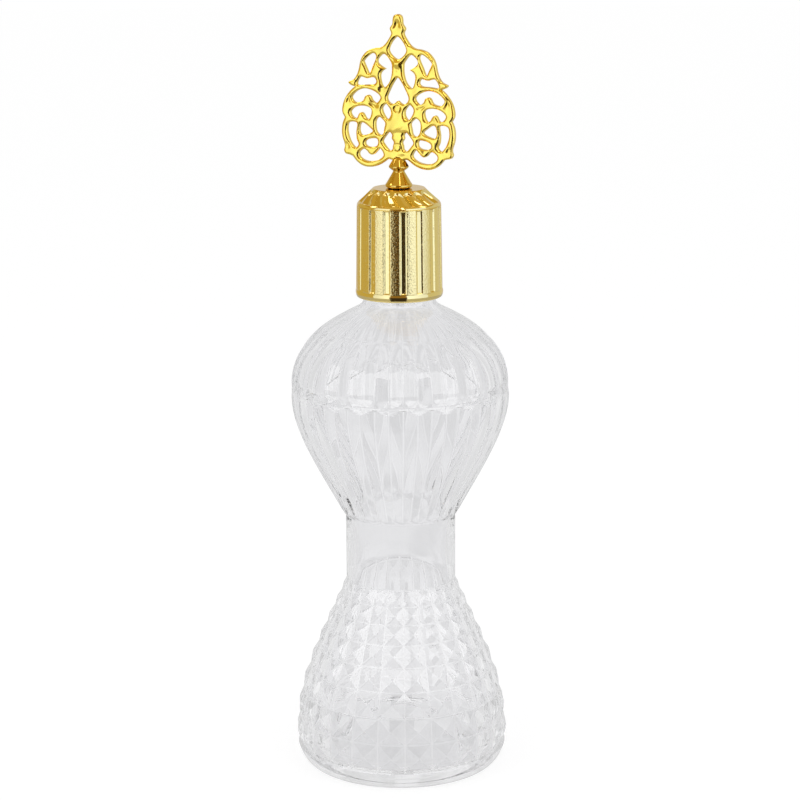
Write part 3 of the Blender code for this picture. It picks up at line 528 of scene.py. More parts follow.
def crisp(piece, low, high, angle):
    """Keeps the pressed facets between two heights sharp at every edge over the angle."""
    mesh = piece.data
    before = [edge.use_edge_sharp for edge in mesh.edges]
    mesh.set_sharp_from_angle(angle=radians(angle))
    for edge, sharp in zip(mesh.edges, before):
        if not low < mesh.vertices[edge.vertices[0]].co.z / MM < high:
            edge.use_edge_sharp = sharp


def turned(name, points, look, columns=96, crease=32, tree=None, repeats=1, crowding=0.0, start=0.0):
    """A piece turned from a profile of (radius, height) or (radius, height, values)."""
    rows = [(*point[:2], point[2] if len(point) > 2 else {}) for point in points]
    piece = run_tree(name, profile_mesh(name, rows), tree or plain_lathe, Repeats=repeats,
                     Columns_in_a_Repeat=columns // repeats, Crowding=crowding,
                     First_Angle=radians(start), Material=look)
    return smooth(piece, crease)


plain_lathe = lathe_tree("plain_lathe")


def zigzag(laps):
    """1 where the count of laps is whole, and straight down to 0 halfway between."""
    return abs(laps.math("FRACT") * 2.0 - 1.0)


def pressed_rule(value, part, turn, radius):
    """Studs, V grooves, their chamfer at the equator, arched flutes and the neck thread."""
    across = abs(part * 2.0 - 1.0)
    studs = value("stud_depth") * across.math("MAXIMUM", zigzag(value("stud_row")))
    chamfer = value("chamfer_depth")
    grooves = (value("groove_depth") * across).math("MAXIMUM", chamfer)
    spandrel = abs(value("groove_depth") * across - chamfer) / MM
    spandrel = spandrel.ramp(0.01, 0.08, 1.0, 0.0) * chamfer.ramp(0.0, 0.02 * MM)
    bow = 1.0 - across * across
    arch = value("arch_place") + bow.math("SQRT") * value("arch_rise")
    inside = arch.ramp(-0.8, 0.8) * 0.4 + arch.ramp(0.0, 7.0) * 0.6
    hollow = bow * 0.4 + (1.0 - across) * 0.6
    foot = value("flute_place") + bow.math("SQRT") * 2.2
    flutes = value("flute_depth") * hollow * inside * foot.ramp(2.2, 4.4)
    veins = value("vein_depth") * bow
    ridge = zigzag(turn + value("thread_lap")).ramp(0.45, 0.8, 1.0, 0.0)
    thread = value("thread_rise") * ridge
    marks = {"cavity": value("cavity"), "row": value("stud_row"), "faceted": value("faceted"),
             "spandrel": spandrel}
    return studs + grooves + flutes + veins - thread, marks


def groove_share(z):
    """Share of the full depth of the V grooves, which eases off towards the equator."""
    t = min(1.0, max(0.0, (z - GROOVE_EASE) / (EQUATOR[1] - GROOVE_EASE)))
    return 1.0 - 0.5 * t * t * (3.0 - 2.0 * t)


def thread_rows(radius, low, high, steps, fade, pitch, rise, lap, level):
    """Rows of a thread, which runs out over the fade at both ends; its laps are
    counted down from lap at the level."""
    rows = []
    for k in range(steps + 1):
        z = low + (high - low) * k / steps
        share = max(0.0, min(1.0, (z - low) / fade, (high - z) / fade))
        rows.append((radius, z, {"thread_lap": lap - (z - level) / pitch, "thread_rise": rise * share * MM}))
    return rows


def stud_course_rows(skirt):
    """Rows of the eight courses of studs, which grow flatter in the top course."""
    rows = []
    heights = stud_heights(skirt)
    for course, (low, high) in enumerate(zip(heights, heights[1:])):
        last = course == STUD_ROWS - 1
        for k in range(STUD_STEPS + last):
            even = k / STUD_STEPS
            part = even - CROWDED * sin(4 * pi * even) / (4 * pi)
            z = low + (high - low) * part
            radius = on_curve(skirt, z)
            fade = 1.0 - 0.55 * part if last else 1.0
            rows.append((radius, z, {"stud_row": course + part, "faceted": 1.0, "stud_depth":
                                     fade * STUD_DEPTH * 2 * pi * radius / FACETS * MM}))
    return rows


def bulb_rows():
    """Rows of the grooved bulb, from the ledge to the chamfered equator."""
    rows = []
    for r, z in bulb_curve(34):
        fade = min(1.0, (z - LEDGE[1]) / LEDGE_FADE)
        rows.append((r, z, {"groove_depth": GROOVE_DEPTH * r * fade * groove_share(z) * MM,
                            "faceted": GROOVE_BEAD * fade}))
    for k in range(1, 8):
        z = BULB[1] + (EQUATOR[1] - BULB[1]) * k / 8
        chamfer = max(0.0, (z - CHAMFER_START) / (EQUATOR[1] - CHAMFER_START))
        rows.append((BULB[0], z, {"groove_depth": GROOVE_DEPTH * BULB[0] * groove_share(z) * MM,
                                  "faceted": GROOVE_BEAD, "chamfer_depth": CHAMFER_DEPTH * chamfer * MM}))
    return rows


def dome_rows():
    """Rows of the fluted dome, up to the fillet of the neck."""
    dome = dome_curve(64)
    travelled = []
    length = 0.0
    for before, point in zip([EQUATOR] + dome, dome):
        length += hypot(point[0] - before[0], point[1] - before[1])
        travelled.append(length)
    arch_at = next(length for length, point in zip(travelled, dome) if point[0] < FLUTE_ARCH_RADIUS)
    half_flute = pi * FLUTE_ARCH_RADIUS / FACETS
    rows = []
    for (r, z), length in zip(dome[1:], travelled[1:]):
        if r < NECK_FILLET:
            break
        fade = min(1.0, max(0.0, (r - NECK_RADIUS) / (FLUTE_ARCH_RADIUS - NECK_RADIUS)))
        rows.append((r - 0.02, z, {"flute_depth": FLUTE_DEPTH * MM, "flute_place": length,
                                   "arch_place": arch_at - length - half_flute, "arch_rise": half_flute,
                                   "vein_depth": VEIN_DEPTH * fade * MM,
                                   "faceted": FLUTE_BEAD * min(fade, length / 3.0)}))
    return rows


def outer_glass_rows():
    """Rows of the outside, from the middle of the punt up to the lip."""
    inner_foot = FOOT_RADIUS - FOOT_BAND
    rows = [(0.0, PUNT_DEPTH + 0.6), (12.0, PUNT_DEPTH + 0.45), (21.0, PUNT_DEPTH + 0.1),
            (inner_foot - 1.6, PUNT_DEPTH - 0.4), (inner_foot - 0.5, 0.35), (inner_foot, 0.08),
            (inner_foot + 0.5, 0.0), (FOOT_RADIUS - 0.8, 0.0)]
    heel = heel_curve(24)
    rows += [(r, z) for r, z in heel if 0.02 < z < STUD_START - 0.6]
    rows += stud_course_rows(heel + skirt_curve(120))
    rows += [(WAIST_RADIUS, WAIST[0] + 0.5), (WAIST_RADIUS, 70.0), (WAIST_RADIUS, 78.0),
             (WAIST_RADIUS, WAIST[1] - 0.4), (WAIST_RADIUS + 0.15, WAIST[1]),
             (LEDGE[0] - 0.35, LEDGE[1] - 0.35)]
    rows += bulb_rows()
    rows += [(EQUATOR[0] - 0.45, EQUATOR[1] - 0.05), (EQUATOR[0] - 0.3, EQUATOR[1] + 0.12),
             (EQUATOR[0] - 0.12, EQUATOR[1] + 0.3)]
    rows += dome_rows()
    start = rows[-1][:2]
    wall = NECK_RADIUS - 0.3
    rows += bezier(start, (start[0] - 1.4, start[1] + 0.7), (wall, DOME_TOP + 0.5),
                   (wall, DOME_TOP + 2.5), 12)
    rows += [(wall, NECK_LEDGE - 0.5), (NECK_RADIUS - 0.45, NECK_LEDGE - 0.12),
             (NECK_RADIUS - 0.8, NECK_LEDGE), (FINISH_RADIUS + 0.3, NECK_LEDGE),
             (FINISH_RADIUS, NECK_LEDGE + 0.3)]
    rows += thread_rows(FINISH_RADIUS, *NECK_THREAD, THREAD_STEPS, 1.4, THREAD_PITCH, THREAD_RISE,
                        10.0, NECK_THREAD[0])
    rows += [(FINISH_RADIUS, NECK_TOP - 0.7), (FINISH_RADIUS - 0.2, NECK_TOP - 0.2),
             (FINISH_RADIUS - 0.7, NECK_TOP), (NECK_BORE + 0.7, NECK_TOP),
             (NECK_BORE + 0.2, NECK_TOP - 0.2), (NECK_BORE, NECK_TOP - 0.7)]
    return rows


def inner_glass_rows():
    """Rows of the cavity, from the neck bore down to the middle of the floor."""
    outer = (skirt_curve(16)[2:] + [(WAIST_RADIUS, z) for z in (68, 74, 80)] + bulb_curve(16)
             + dome_curve(22))
    inner = []
    for before, here, after in zip(outer, outer[1:], outer[2:]):
        run = (after[0] - before[0], after[1] - before[1])
        size = hypot(*run)
        point = (here[0] - WALL * run[1] / size, here[1] + WALL * run[0] / size)
        if point[0] > NECK_FILLET - 0.9 and (not inner or hypot(point[0] - inner[-1][0],
                                                              point[1] - inner[-1][1]) > 0.8):
            inner.append(point)
    for _ in range(2):
        inner = [inner[0]] + [tuple((a[k] + 2 * b[k] + c[k]) / 4 for k in (0, 1))
                              for a, b, c in zip(inner, inner[1:], inner[2:])] + [inner[-1]]
    start, end = inner[0], inner[-1]
    floor_edge = (BELLY[0] - 2.4 * WALL, BASE_THICKNESS)
    bottom = [(r, BASE_THICKNESS + crown)
              for r, crown in ((0.0, 1.0), (8.0, 0.93), (16.0, 0.65), (23.0, 0.25))]
    corner = bezier(floor_edge, (floor_edge[0] + 3.2, BASE_THICKNESS + 0.1), (start[0] - 0.2, start[1] - 6.5),
                    start, 9)
    top = bezier(end, (end[0] - 2.4, end[1] + 1.3), (THROAT[0], THROAT[1] - 4.0), THROAT, 9)
    top += bezier(THROAT, (THROAT[0], THROAT[1] + 2.5), (NECK_BORE, THROAT[1] + 3.0), (NECK_BORE, 166.5), 7)
    line = bottom + [floor_edge] + corner[:-1] + inner + top + [(NECK_BORE, 170.0)]
    return [(r, z, {"cavity": 1.0}) for r, z in line[::-1]]


def shaded_look(name):
    """A new material, its tree, and the coordinates of the object."""
    look = bpy.data.materials.new(name)
    look.use_nodes = True
    return look, look.node_tree, object_spot(look.node_tree)


def finish(tree, **named):
    """Sets or links inputs of a material's own shader."""
    feed(tree, tree.nodes["Principled BSDF"], **named)


def bead(laps, length):
    """A thin raised line wherever the count of laps is whole."""
    return (abs((laps + 0.5).math("FRACT") - 0.5) * length).ramp(0.05, 0.32, 1.0, 0.0)


def glass_look():
    """Clear glass with the faint ripples and the mould seam of pressed ware. The
    beads between its facets, and the petals and diagonals of each stud, are a little
    lighter in tint: painted highlights for the light that rounded edges and refraction catch."""
    look, tree, spot = shaded_look("clear_glass")
    x, y, _ = split(tree, spot)
    pitch = (x * x + y * y).math("SQRT") * (2 * pi / FACETS / MM)
    lap = x.math("ARCTAN2", -y) * (FACETS / (2 * pi))
    row, inner = marked(tree, "row"), marked(tree, "cavity")
    studded = row.ramp(0.0, 0.01)
    beads = bead(lap, pitch).math("MAXIMUM", bead(lap + 0.5, pitch) * (1.0 - studded) * 0.8)
    beads = beads.math("MAXIMUM", bead(row, 6.5) * studded) * marked(tree, "faceted")
    beads = beads.math("MAXIMUM", marked(tree, "spandrel"))
    across = 1.0 - abs((lap + 0.5).math("FRACT") - 0.5) * 2.0
    along = zigzag(row)
    petal = (across - along).ramp(-0.05, 0.05) * studded
    diagonal = abs(across - along).ramp(0.015, 0.07, 1.0, 0.0) * studded
    # Painted highlights: the tint is lighter on the beads, the stud petals and their diagonals.
    outer = beads * BEAD_HIGHLIGHT_TINT + petal * PETAL_HIGHLIGHT_TINT + diagonal * DIAGONAL_HIGHLIGHT_TINT + GLASS_TINT
    level = outer * (1.0 - inner) + inner * CAVITY_TINT
    ripple = add(tree, "ShaderNodeTexNoise", Vector=spot, Scale=90.0, Detail=1.0, Roughness=0.4)
    broad = add(tree, "ShaderNodeTexNoise", Vector=spot, Scale=40.0, Detail=0.0)
    seam = (abs(x) / MM).ramp(0.05, 0.28, 1.0, 0.0)
    height = ripple * RIPPLE_BUMP + broad * BROAD_BUMP + seam * SEAM_BUMP + beads * BEAD_BUMP
    finish(tree, Roughness=0.0, IOR=1.5, Transmission_Weight=1.0,
           Base_Color=add(tree, "ShaderNodeCombineColor", level, level, level + 0.008),
           Normal=add(tree, "ShaderNodeBump", Height=height, Distance=MM))
    return look


bottle_glass = turned("bottle_glass", outer_glass_rows() + inner_glass_rows(), glass_look(),
                      columns=GLASS_COLUMNS, tree=lathe_tree("pressed_lathe", pressed_rule),
                      repeats=FACETS, crowding=CROWDED, crease=40)
crisp(bottle_glass, STUD_START - 1.0, WAIST[0] - 3.0, STUD_CREASE)
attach(bottle_glass, "bottle")
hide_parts("glass_bottle")


# Dripper plug: soft polyethylene, pressed into the neck to slow the pour. Two
# beads round its skirt seal it; the little spout stands in a dish in the middle.
def plastic(name, colour, roughness, inside=0.25):
    """Moulded plastic: slightly translucent, with a faint uneven gloss."""
    look, tree, spot = shaded_look(name)
    cloud = add(tree, "ShaderNodeTexNoise", Vector=spot, Scale=420.0, Detail=3.0)
    finish(tree, Base_Color=(*colour, 1.0), Subsurface_Weight=inside, Subsurface_Radius=(0.9, 0.8, 0.7),
           Subsurface_Scale=1.2 * MM, Roughness=cloud.ramp(0.3, 0.7, roughness - 0.06, roughness + 0.08),
           Normal=add(tree, "ShaderNodeBump", Height=cloud, Strength=0.2, Distance=0.03 * MM))
    return look


def rounded(points, radius, steps=4):
    """Rounds the corners of a profile; the ends stay as they are."""
    line = [points[0]]
    for before, here, after in zip(points, points[1:], points[2:]):
        sides = []
        for other in (before, after):
            reach = hypot(other[0] - here[0], other[1] - here[1])
            part = min(radius, 0.45 * reach) / reach
            sides.append((here[0] + (other[0] - here[0]) * part, here[1] + (other[1] - here[1]) * part))
        for k in range(steps + 1):
            t = k / steps
            line.append(tuple((1 - t) ** 2 * sides[0][i] + 2 * t * (1 - t) * here[i] + t * t * sides[1][i]
                              for i in (0, 1)))
    return line + [points[-1]]


PLUG_SEAT = NECK_TOP + 0.2
PLUG_TOP = PLUG_SEAT + 1.0
PLUG_SKIRT = NECK_BORE - 0.3
plug_line = [(5.0, PLUG_SEAT - 5.0), (5.0, PLUG_SEAT - 9.0), (PLUG_SKIRT - 0.4, PLUG_SEAT - 9.0),
             (PLUG_SKIRT, PLUG_SEAT - 8.0)]
for level in (PLUG_SEAT - 6.0, PLUG_SEAT - 3.0):
    plug_line += [(PLUG_SKIRT, level - 0.5), (PLUG_SKIRT + 0.25, level - 0.1),
                  (PLUG_SKIRT + 0.25, level + 0.1), (PLUG_SKIRT, level + 0.5)]
plug_line += [(PLUG_SKIRT, PLUG_SEAT), (8.4, PLUG_SEAT), (8.4, PLUG_TOP), (5.2, PLUG_TOP),
              (5.0, PLUG_TOP - 1.4), (2.1, PLUG_TOP - 1.4), (1.8, PLUG_TOP - 0.1), (1.0, PLUG_TOP - 0.1),
              (1.0, PLUG_TOP - 2.4), (5.0, PLUG_TOP - 2.4), (5.0, PLUG_SEAT - 5.0)]
dripper = turned("dripper", rounded(plug_line, 0.22), plastic("plug_plastic", (0.86, 0.87, 0.86), 0.42))
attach(dripper, "dripper")
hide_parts("dripper_plug")


# Sealing disc: a wad punched from foamed polyethylene sheet. Its faces are
# skinned and its cut edge shows the open cells.
def foam():
    look = plastic("liner_foam", (0.86, 0.85, 0.80), 0.6, 0.15)
    tree = look.node_tree
    cells = add(tree, "ShaderNodeTexVoronoi", Vector=object_spot(tree), Scale=2600.0, out="Distance")
    finish(tree, Normal=add(tree, "ShaderNodeBump", Height=cells, Strength=0.7, Distance=0.08 * MM))
    return look


LINER_SEAT = PLUG_TOP + 0.2
LINER_TOP = LINER_SEAT + 1.2
INSERT_BORE = 11.3
disc = [(0.0, LINER_SEAT), (INSERT_BORE - 0.3, LINER_SEAT), (INSERT_BORE - 0.3, LINER_TOP), (0.0, LINER_TOP)]
liner = turned("sealing_disc", rounded(disc, 0.12), foam())
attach(liner, "cap_seal")
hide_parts("cap_liner")


# Threaded insert: injection-moulded polypropylene, pushed up into the shell. Its
# thread stands half a pitch off the neck's, so the two mesh.
def inner_thread_rule(value, part, turn, radius):
    ridge = zigzag(turn + value("thread_lap")).ramp(0.1, 0.42, 1.0, 0.0)
    return -(value("thread_rise") * ridge), {}


CEILING = LINER_TOP + 0.2
INSERT_FOOT = 161.2
INSERT_RADIUS = 12.35
INSERT_THREAD = (162.4, 172.3)
outside = [(INSERT_BORE + 0.4, INSERT_FOOT), (INSERT_RADIUS, INSERT_FOOT), (INSERT_RADIUS, CEILING + 0.6),
           (INSERT_RADIUS - 0.8, CEILING + 1.4), (0.0, CEILING + 1.4)]
insert_rows = [(0.0, CEILING), (INSERT_BORE - 0.3, CEILING), (INSERT_BORE, CEILING - 0.3)]
insert_rows += thread_rows(INSERT_BORE, *INSERT_THREAD, THREAD_STEPS, 1.2, THREAD_PITCH, 1.0, 10.5,
                           NECK_THREAD[0])[::-1]
insert_rows += [(INSERT_BORE, INSERT_FOOT + 0.4)] + rounded(outside, 0.15)
insert = turned("cap_insert", insert_rows, plastic("insert_plastic", (0.82, 0.82, 0.80), 0.36),
                columns=144, tree=lathe_tree("inner_thread_lathe", inner_thread_rule))
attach(insert, "cap")
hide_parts("cap_inner")


# Cap shell: ABS, vacuum metallised and lacquered gold. Sixteen grainy panels
# between polished sunk strips, a plain rim, a twisted shoulder and a flat top.
CAP_TURN = -24.75
CAP_COLUMNS = 576
PANELS = 16
FIRST_STRIP = 6.1
STRIP_HALF = 5.3
STRIP_FLOOR = 2.6
STRIP_DEPTH = 0.35
SHOULDER_FLUTES = 18
FIRST_FLUTE = 0.275
SHOULDER_DEPTH = 0.55
SHOULDER_TWIST = 12.0
CAP_RIM = (14.3, 159.7)
BAND_TOP = 162.0
WALL_FOOT = 14.1
WALL_HEAD = (13.7, 190.1)
CAP_DISC = (8.5, 195.1)
CAP_BORE = 12.65
HOLE = 1.3


def gilt(name, colour, roughness, grain=0.0, coat=1.0, wave=0.0):
    """Gold finish: metal under clear lacquer, with grain where the surface carries
    that mark, and the broad waves of a cast face."""
    look, tree, spot = shaded_look(name)
    grainy = marked(tree, "grain") * grain
    fine = add(tree, "ShaderNodeTexNoise", Vector=spot, Scale=1700.0, Detail=2.0, Roughness=0.7)
    peel = add(tree, "ShaderNodeTexNoise", Vector=spot, Scale=700.0, Detail=1.0)
    broad = add(tree, "ShaderNodeTexNoise", Vector=spot, Scale=210.0, Detail=1.0)
    height = fine * grainy + peel * 0.003 + broad * wave
    finish(tree, Base_Color=(*colour, 1.0), Metallic=1.0, Coat_Weight=coat, Coat_Roughness=0.05,
           Roughness=grainy * 0.3 + roughness,
           Normal=add(tree, "ShaderNodeBump", Height=height, Strength=1.0, Distance=MM))
    return look


def cap_rule(value, part, turn, radius):
    """Sunk strips in the wall, and flutes with rounded heads round the shoulder."""
    aside = abs(part - 0.5) * (360.0 / PANELS)
    strip = aside.ramp(STRIP_FLOOR, STRIP_HALF, 1.0, 0.0)
    across = (turn * SHOULDER_FLUTES + FIRST_FLUTE).math("FRACT") * 2.0 - 1.0
    bow = 1.0 - across * across
    head = (value("flute_place") + bow.math("SQRT") * value("flute_round")).ramp(0.0, 0.9)
    grain = value("grain") * aside.ramp(STRIP_FLOOR, STRIP_HALF, 0.25, 1.0)
    return value("strip_depth") * strip + value("flute_depth") * bow * head, {"grain": grain}


def cap_rows():
    """Rows of the shell: up the outside, over the top, and down the inside."""
    rim, foot = CAP_RIM
    head, shoulder = WALL_HEAD
    edge, top = CAP_DISC
    rows = [(CAP_BORE + 0.25, foot), (rim - 0.5, foot), (rim - 0.32, foot + 0.1), (rim - 0.2, foot + 0.35),
            (rim - 0.1, foot + 0.75), (rim - 0.03, foot + 1.1), (rim, foot + 1.4), (rim, BAND_TOP - 0.6),
            (rim - 0.04, BAND_TOP - 0.25), (rim - 0.12, BAND_TOP - 0.05), (WALL_FOOT, BAND_TOP + 0.1)]
    low, high = BAND_TOP + 0.3, shoulder - 0.6
    steps = [(0.0, 0.0), (0.1, 0.25), (0.25, 0.75), (0.4, 1.0)]
    marks = [(low + z, depth) for z, depth in steps]
    marks += [(low + (high - low) * k / 12, 1.0) for k in range(1, 12)]
    marks += [(high - z, depth) for z, depth in steps[::-1]]
    for z, depth in marks:
        radius = WALL_FOOT + (head - WALL_FOOT) * ((z - BAND_TOP) / (shoulder - BAND_TOP))
        rows.append((radius, z, {"strip_depth": STRIP_DEPTH * depth * MM, "grain": 1.0}))
    cone = bezier((head, shoulder - 0.5), (head - 0.02, shoulder + 0.1), (head - 0.35, shoulder + 0.45),
                  (head - 0.85, shoulder + 0.95), 8)
    start = cone[-1]
    cone += [(start[0] + (edge - start[0]) * k / 24, start[1] + (top - start[1]) * k / 24)
             for k in range(1, 25)]
    for r, z in cone:
        share = (z - shoulder) / (top - shoulder)
        depth = SHOULDER_DEPTH * min(1.0, max(0.0, (share - 0.12) / 0.06)) * (1.0 if share < 0.95 else 0.0)
        twist = SHOULDER_TWIST * max(0.0, 1.0 - share) ** 1.5
        rows.append((r, z, {"flute_depth": depth * MM, "flute_place": 7.0 * (0.94 - share) - 2.0,
                            "flute_round": 2.0, "twist": twist / 360.0}))
    rows += [(edge - 0.12, top), (edge - 0.5, top), (5.0, top), (HOLE, top), (HOLE, top - 1.5),
             (edge - 0.75, top - 1.5), (CAP_BORE, shoulder - 1.5), (CAP_BORE, foot + 0.25),
             (CAP_BORE + 0.25, foot)]
    return rows


cap_gold = gilt("cap_gold", (0.86, 0.68, 0.25), 0.08, grain=0.13, coat=0.5)
cap = turned("cap_shell_gilt", cap_rows(), cap_gold, columns=CAP_COLUMNS, repeats=PANELS,
             tree=lathe_tree("cap_lathe", cap_rule), start=CAP_TURN + FIRST_STRIP - 180.0 / PANELS, crease=30)
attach(cap, "cap")
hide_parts("cap_shell")


# Finial screw: zinc-plated steel, driven up through the cap's top from inside,
# with a fine thread and a cross recess in its head.
STEM_SEAT = 196.0
HEAD_TOP = CAP_DISC[1] - 1.7
HEAD_HALF = 2.2
SCREW_TIP = STEM_SEAT + 3.2
SCREW_CORE = 0.8
SCREW_PITCH = 0.4
RECESS_DEPTH = 0.7


def screw_rule(value, part, turn, radius):
    ridge = zigzag(turn + value("thread_lap")).ramp(0.1, 0.9, 1.0, 0.0)
    arm = abs(((part - 0.5) * (0.5 * pi)).math("SINE") * radius)
    recess = value("recess") * arm.ramp(0.22 * MM, 0.3 * MM, 1.0, 0.0)
    return recess - value("thread_rise") * ridge, {}


def steel():
    look, tree, spot = shaded_look("screw_steel")
    stain = add(tree, "ShaderNodeTexNoise", Vector=spot, Scale=900.0, Detail=3.0)
    finish(tree, Base_Color=(0.62, 0.63, 0.66, 1.0), Metallic=1.0, Roughness=stain.ramp(0.3, 0.7, 0.2, 0.4))
    return look


screw_rows = [(0.2 * k, HEAD_TOP - 1.4 + 0.02 * k, {"recess": RECESS_DEPTH * MM}) for k in range(7)]
screw_rows += [(1.4, HEAD_TOP - 1.25), (1.9, HEAD_TOP - 1.0), (HEAD_HALF, HEAD_TOP - 0.6),
               (HEAD_HALF, HEAD_TOP - 0.1), (HEAD_HALF - 0.1, HEAD_TOP), (SCREW_CORE, HEAD_TOP)]
screw_rows += thread_rows(SCREW_CORE, HEAD_TOP + 0.1, SCREW_TIP - 0.3, 72, 0.4, SCREW_PITCH, 0.2, 20.0,
                          HEAD_TOP + 0.1)
screw_rows += [(0.6, SCREW_TIP), (0.0, SCREW_TIP)]
screw = turned("cross_head_screw", screw_rows, steel(), columns=64, repeats=4,
               tree=lathe_tree("screw_lathe", screw_rule), start=CAP_TURN)
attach(screw, "cap")
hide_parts("finial_screw")


# Washer: dark nitrile rubber, moulded as a flat ring, and clamped between the
# cap's top and the stem's foot.
WASHER_SEAT = CAP_DISC[1] + 0.2
WASHER_RADIUS = 3.4
WASHER_TOP = WASHER_SEAT + 0.5
ring = [(2.6, WASHER_SEAT), (WASHER_RADIUS, WASHER_SEAT), (WASHER_RADIUS, WASHER_TOP), (HOLE, WASHER_TOP),
        (HOLE, WASHER_SEAT), (2.6, WASHER_SEAT)]
washer = turned("rubber_washer", rounded(ring, 0.12),
                plastic("washer_rubber", (0.022, 0.02, 0.02), 0.55, inside=0.0))
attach(washer, "cap_carrier")
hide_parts("finial_washer")


# Stem: brass, turned and gilt. A coned foot with a polished lip, a thin neck, and
# a bell that is slotted across to hold the ornament.
STEM_TOP = 205.3
STEM_NECK = 1.9
STEM_RECESS = 3.7
STEM_LIP = 4.4
BELL = 3.25
BELL_LEVEL = STEM_SEAT + 6.1
TIP_LEVEL = STEM_TOP - 0.9
SLOT_HALF = 0.8
stem_line = [(0.0, STEM_SEAT + 3.4), (HOLE, STEM_SEAT + 3.4), (HOLE, STEM_SEAT), (STEM_RECESS, STEM_SEAT),
             (STEM_RECESS, STEM_SEAT - 0.65), (4.1, STEM_SEAT - 0.65), (STEM_LIP, STEM_SEAT - 0.25),
             (STEM_LIP, STEM_SEAT + 0.3), (4.0, STEM_SEAT + 0.8), (STEM_NECK, STEM_SEAT + 4.4),
             (STEM_NECK, STEM_SEAT + 4.75), (0.8 * BELL, BELL_LEVEL - 0.9), (BELL, BELL_LEVEL - 0.3),
             (BELL, BELL_LEVEL + 0.1), (1.9, TIP_LEVEL), (1.14, STEM_TOP - 0.2), (0.0, STEM_TOP)]
stem_gold = gilt("stem_gold", (0.72, 0.475, 0.08), 0.09, coat=0.4)
stem = turned("turned_stem", rounded(stem_line, 0.22), stem_gold, columns=128, crease=50)


def cut(piece, cutter, crease):
    """Cuts a shape out of a piece, whose look the cut faces take, and keeps plain mesh."""
    keep = piece.modifiers.new("cut", "BOOLEAN")
    keep.object = cutter
    keep.solver = "EXACT"
    graph = bpy.context.evaluated_depsgraph_get()
    mesh = bpy.data.meshes.new_from_object(piece.evaluated_get(graph), depsgraph=graph)
    wear(mesh, piece.data.materials[0])
    piece.modifiers.clear()
    piece.data = mesh
    bpy.data.objects.remove(cutter)
    return smooth(piece, crease)


def plain_piece(name, shape):
    """A linked object made from a bmesh, which is freed."""
    mesh = bpy.data.meshes.new(name)
    shape.to_mesh(mesh)
    shape.free()
    piece = bpy.data.objects.new(name, mesh)
    scene.collection.objects.link(piece)
    return piece


def block(low, high, turn):
    """A box between two corners, turned about Z."""
    shape = bmesh.new()
    bmesh.ops.create_cube(shape, size=1.0)
    for vert in shape.verts:
        vert.co = Vector([(a + b) / 2 + (b - a) * c for a, b, c in zip(low, high, vert.co)]) * MM
        vert.co.rotate(Quaternion((0.0, 0.0, 1.0), radians(turn)))
    return plain_piece("block", shape)


cut(stem, block((-5.0, -SLOT_HALF, STEM_TOP - 3.1), (5.0, SLOT_HALF, STEM_TOP + 2.0), CAP_TURN), 50)
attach(stem, "cap")
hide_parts("finial_stem")


# Ornament: zinc alloy, die cast and gilt: a pierced palmette with pillowed strands,
# raised knots, and the round marks of two ejector pins. Its outlines are measured
# in millimetres from the stem's tip, and a third number marks a sharp corner.
ORNAMENT_EDGE = [
    (0.0, 45.7), (1.2, 45.2), (1.6, 43.9), (1.7, 42.6), (2.6, 41.1), (2.1, 39.5), (3.1, 37.6),
    (4.4, 35.9), (6.1, 34.9), (8.3, 34.6), (10.5, 33.7), (12.3, 31.8), (13.1, 29.9), (13.5, 28.0),
    (14.2, 26.0), (15.4, 24.4), (17.2, 23.5), (16.5, 22.6), (14.9, 22.1, 1), (16.1, 21.2),
    (17.7, 19.4), (18.9, 17.3), (19.5, 15.0), (19.4, 13.4), (18.6, 12.0, 1), (19.4, 10.1),
    (19.7, 7.8), (19.5, 5.6), (18.8, 3.5), (18.7, 2.4), (19.0, 1.2), (18.4, 0.2), (17.1, -0.1),
    (15.9, -0.5, 1), (14.4, -2.2), (12.5, -3.4), (10.3, -3.8), (7.6, -3.4), (5.5, -2.4),
    (3.7, -1.1), (2.9, -0.9)]
TANG = [(1.8, -1.3, 1), (1.8, -2.9, 1)]

# Openings on the centre line: the right half of each, from its top to its foot
CENTRE_OPENINGS = [
    [(0.0, 38.6), (3.1, 34.3), (0.0, 31.3)],
    [(0.0, 25.5), (1.4, 24.0), (2.8, 21.5), (3.8, 19.1), (3.3, 17.6), (2.0, 16.9), (0.9, 17.3),
     (0.0, 18.0)]]

